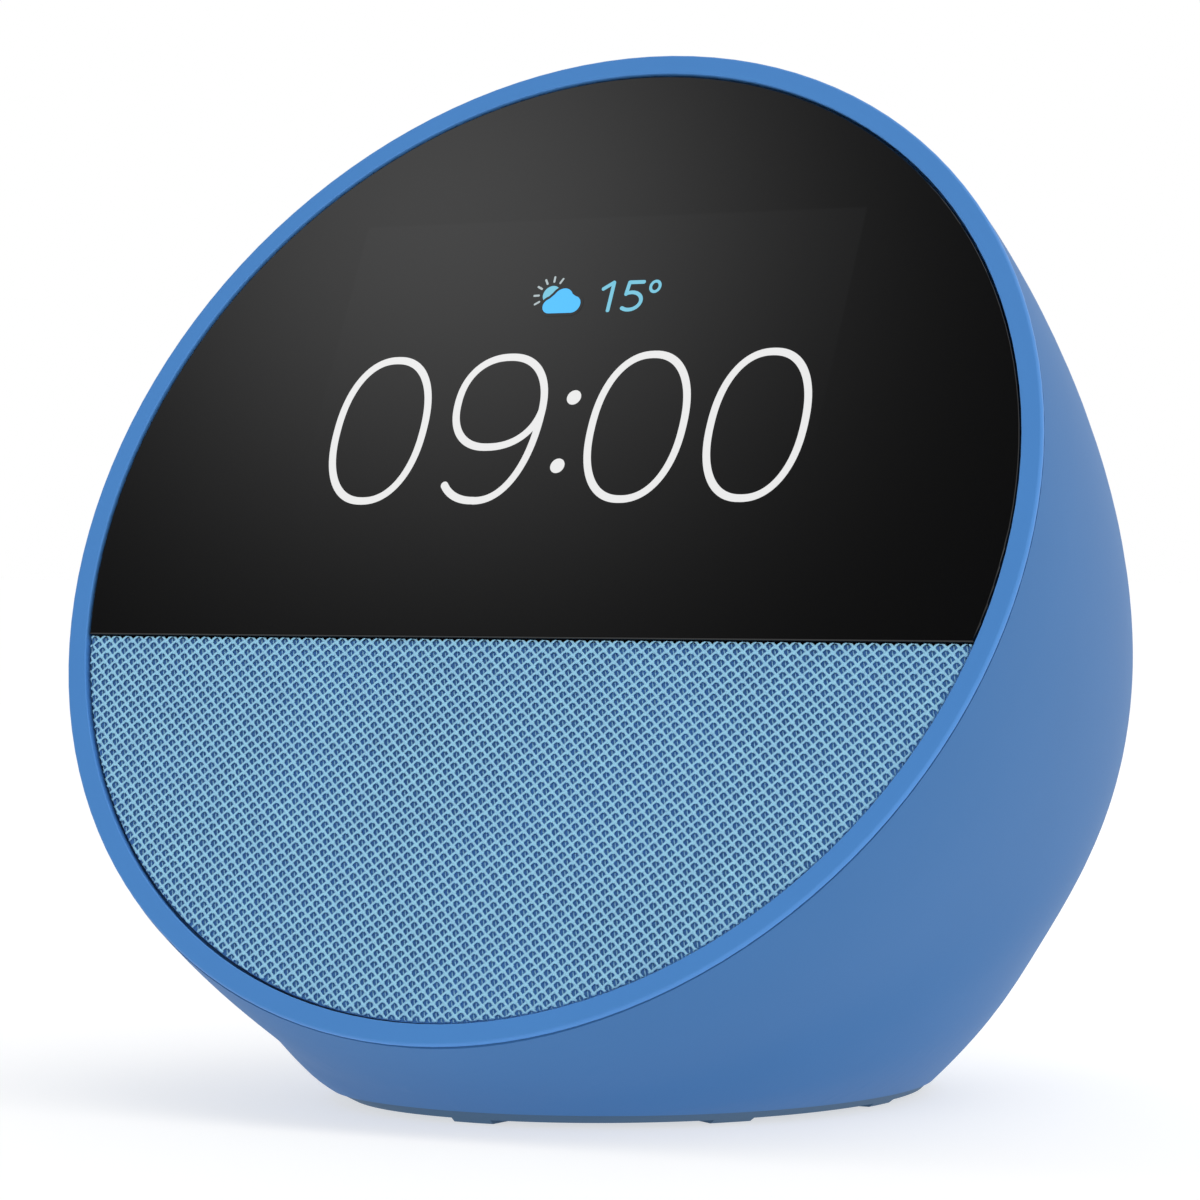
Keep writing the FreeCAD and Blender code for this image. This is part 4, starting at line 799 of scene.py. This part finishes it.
def arc(x, u, rx, ru, start, end, steps=24, square=2.25):
    """Part of a slightly squared oval, from one angle to another, in millimetres."""
    path = []
    for i in range(steps + 1):
        angle = math.radians(start + (end - start) * i / steps)
        c, s = math.cos(angle), math.sin(angle)
        path.append(Vector((x + rx * math.copysign(abs(c) ** (2 / square), c),
                            u + ru * math.copysign(abs(s) ** (2 / square), s))))
    return path


def ribbon(path, width, closed=False):
    """Outlines of a stroke of even width, with round ends if it is open."""
    path = [p for i, p in enumerate(path) if i == 0 or (p - path[i - 1]).length > 1e-4]
    if closed and (path[0] - path[-1]).length < 1e-4:
        path = path[:-1]
    count = len(path)
    left, right_side = [], []
    for i, here in enumerate(path):
        before = path[i - 1] if closed or i else here
        after = path[(i + 1) % count] if closed or i < count - 1 else here
        along = (after - before).normalized()
        flank = Vector((-along.y, along.x)) * width / 2
        left.append(here + flank)
        right_side.append(here - flank)
    if closed:
        return left, right_side
    caps = []
    for here, edge in ((path[-1], left[-1]), (path[0], right_side[0])):
        spoke = edge - here
        caps.append([here + Matrix.Rotation(-math.pi * k / CAP_STEPS, 2) @ spoke
                     for k in range(1, CAP_STEPS)])
    return left + caps[0] + right_side[::-1] + caps[1], None


def inked(path, width, closed=False, low=INK_LOW, high=INK_HIGH):
    """Thin raised ribbon between two heights, as points and faces."""
    outer, inner = ribbon(path, width, closed)
    if inner is None:
        return slab([p * MM for p in outer], low, high)
    count = len(outer)
    points = [(*(p * MM), w) for w in (low, high) for ring in (outer, inner) for p in ring]
    faces = []
    for i in range(count):
        j = (i + 1) % count
        faces.append((i, j, j + count, i + count))
        faces.append((i + 2 * count, i + 3 * count, j + 3 * count, j + 2 * count))
        faces.append((i, i + 2 * count, j + 2 * count, j))
        faces.append((i + count, j + count, j + 3 * count, i + 3 * count))
    return points, faces


def show(name, shapes, paint):
    """One piece of the display's picture."""
    points, faces = merged(shapes)
    piece = put(name, on_face(points), faces, paint)
    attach(piece, "housing")
    return piece


STROKE = 0.86
ZERO_X = (-22.1, 9.3, 23.35)
zeros = [inked(arc(x, CLOCK_U, ZERO_HALF_WIDE, ZERO_HALF_HIGH, 0, 360, 96), STROKE, closed=True)
         for x in ZERO_X]
nine_path = (arc(-8.3, 8.7, 4.95, 5.2, 218, 270, 12) + arc(-8.3, 13.6, 5.7, 10.12, 270, 360)
             + arc(-8.0, 13.6, 5.4, 6.73, 0, 90) + arc(-8.0, 15.0, 5.15, 5.33, 90, 180)
             + arc(-8.3, 15.0, 4.85, 5.27, 180, 270) + arc(-8.3, 15.0, 5.75, 5.27, 270, 352, 16))
dots = [slab([p * MM for p in arc(DOT_X, u, DOT_R, DOT_R, 0, 350, 35, 2.0)], INK_LOW, INK_HIGH)
        for u in DOT_U]
show("clock_figures", zeros + [inked(nine_path, STROKE)] + dots, clock_white)
print("clock figures drawn")

# %% [markdown]
# ## Weather sign
# The temperature uses the clock's strokes in a finer width. The sign is a filled sun with
# short rays and a filled cloud in front, with a dark rim round the cloud. On the glass
# these are layers, a few thousandths of a millimetre apart, so the nearer always covers
# the farther.

# %% Temperature and weather sign
FINE = 0.44
DEGREE_WIDTH = 0.34
flag = [Vector((1.28, 28.20)), Vector((2.38, 28.92))]
stem = [Vector((2.40, 28.88)), Vector((2.40, 25.62))]
bar = [Vector((4.30, 28.88)), Vector((6.00, 28.88))]
upright = [Vector((4.30, 28.88)), Vector((4.18, 27.50))]
bowl = arc(4.85, 26.65, 1.30, 1.03, 120, -128, 18, 2.0)
degree = arc(7.5, 28.3, 0.55, 0.62, 0, 360, 32, 2.0)
show("temperature", [inked(flag, FINE), inked(stem, FINE), inked(bar, FINE), inked(upright, FINE),
                     inked(bowl, FINE), inked(degree, DEGREE_WIDTH, closed=True)], pale_cyan)

SUN = Vector((-4.95, 27.7))
SUN_R = 1.05
RAY_FROM = 1.55
RAY_TO = 2.1
RAY_WIDTH = 0.24
CLOUD_GAP = 0.34
CLOUD_PARTS = ((-4.75, 26.35, 0.95, 0.90, 270, 110), (-3.45, 27.05, 1.25, 1.35, 150, 30),
               (-2.1, 26.45, 0.98, 1.0, 80, -90))


def cloud(extra, level):
    """The cloud's filled outline, grown a little, on a layer of its own."""
    outline = []
    for x, u, rx, ru, first, last in CLOUD_PARTS:
        outline += arc(x, u, rx + extra, ru + extra, first, last, 12, 2.0)
    low = INK_HIGH + (level - 1) * LAYER
    return slab([p * MM for p in outline][::-1], low, low + LAYER)


rays = []
for bearing in range(62, 213, 30):
    ray = Vector((math.cos(math.radians(bearing)), math.sin(math.radians(bearing))))
    rays.append(inked([SUN + ray * RAY_FROM, SUN + ray * RAY_TO], RAY_WIDTH))
disc = slab([p * MM for p in arc(SUN.x, SUN.y, SUN_R, SUN_R, 0, 350, 35, 2.0)], INK_LOW, INK_HIGH)
show("sun_rays", rays, ray_grey)
show("sun_disc", [disc], pale_cyan)
show("cloud_rim", [cloud(CLOUD_GAP, 1)], glass)
show("cloud_sign", [cloud(0, 2)], sign_cyan)
print("display picture: clock, temperature and weather sign")

# %% [markdown]
# ## Marks on the buttons
# The three buttons are the same size, so a finger and an eye need a mark on each: a bar
# for quieter, a cross for louder, and a crossed circle for the microphones. On the real
# object they are moulded in low relief and tinted darker than the button. Each mark is
# drawn flat, then every point is dropped along the button's axis onto its curved top.

# %% Drop the marks onto the buttons
MARK_RELIEF = 0.10 * MM
MARK_ROOT = -0.05 * MM
MARK_HALF = 1.45
MARK_WIDTH = 0.55
MARK_BLUE = (0.020, 0.075, 0.200)
DROP = 10 * MM
mark_tint = moulded("mark_tint", MARK_BLUE, 0.50, grain=0.002, specular=0.3)


def straight(start, end, steps=8):
    """Points along a straight stroke, close enough to follow a curved top."""
    return [start.lerp(end, i / steps) for i in range(steps + 1)]


def marked(name, button, body, strokes, closed=()):
    """Low relief on a button's top, from strokes and closed loops in millimetres."""
    out = -Vector(joints[body + "_press"]["axis"]).normalized()
    away = out.cross(RIGHT)
    mesh = nodes[button].data
    corners = [v.co for v in mesh.vertices]
    surface = BVHTree.FromPolygons(corners, [list(face.vertices) for face in mesh.polygons])
    middle = sum(corners, Vector()) / len(corners)
    drawn = [inked(path, MARK_WIDTH, False, MARK_ROOT, MARK_RELIEF) for path in strokes]
    drawn += [inked(path, MARK_WIDTH, True, MARK_ROOT, MARK_RELIEF) for path in closed]
    points, faces = merged(drawn)
    laid = []
    for x, y, rise in points:
        start = middle + RIGHT * x + away * y + out * DROP
        hit = surface.ray_cast(start, -out)[0]
        laid.append(hit + out * rise)
    piece = put(name, laid, faces, mark_tint)
    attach(piece, body)
    return piece


across_stroke = straight(Vector((-MARK_HALF, 0)), Vector((MARK_HALF, 0)))
down_stroke = straight(Vector((0, -MARK_HALF)), Vector((0, MARK_HALF)))
slash = straight(Vector((-MARK_HALF, MARK_HALF)) * 0.95, Vector((MARK_HALF, -MARK_HALF)) * 0.95)
marked("minus_mark", "volume_down_button", "volume_down", [across_stroke])
marked("plus_mark", "volume_up_button", "volume_up", [across_stroke, down_stroke])
marked("mute_mark", "mic_mute_button", "mic_mute", [slash],
       [arc(0, 0, MARK_HALF, MARK_HALF, 0, 360, 40, 2.0)])
print("marks on three buttons")
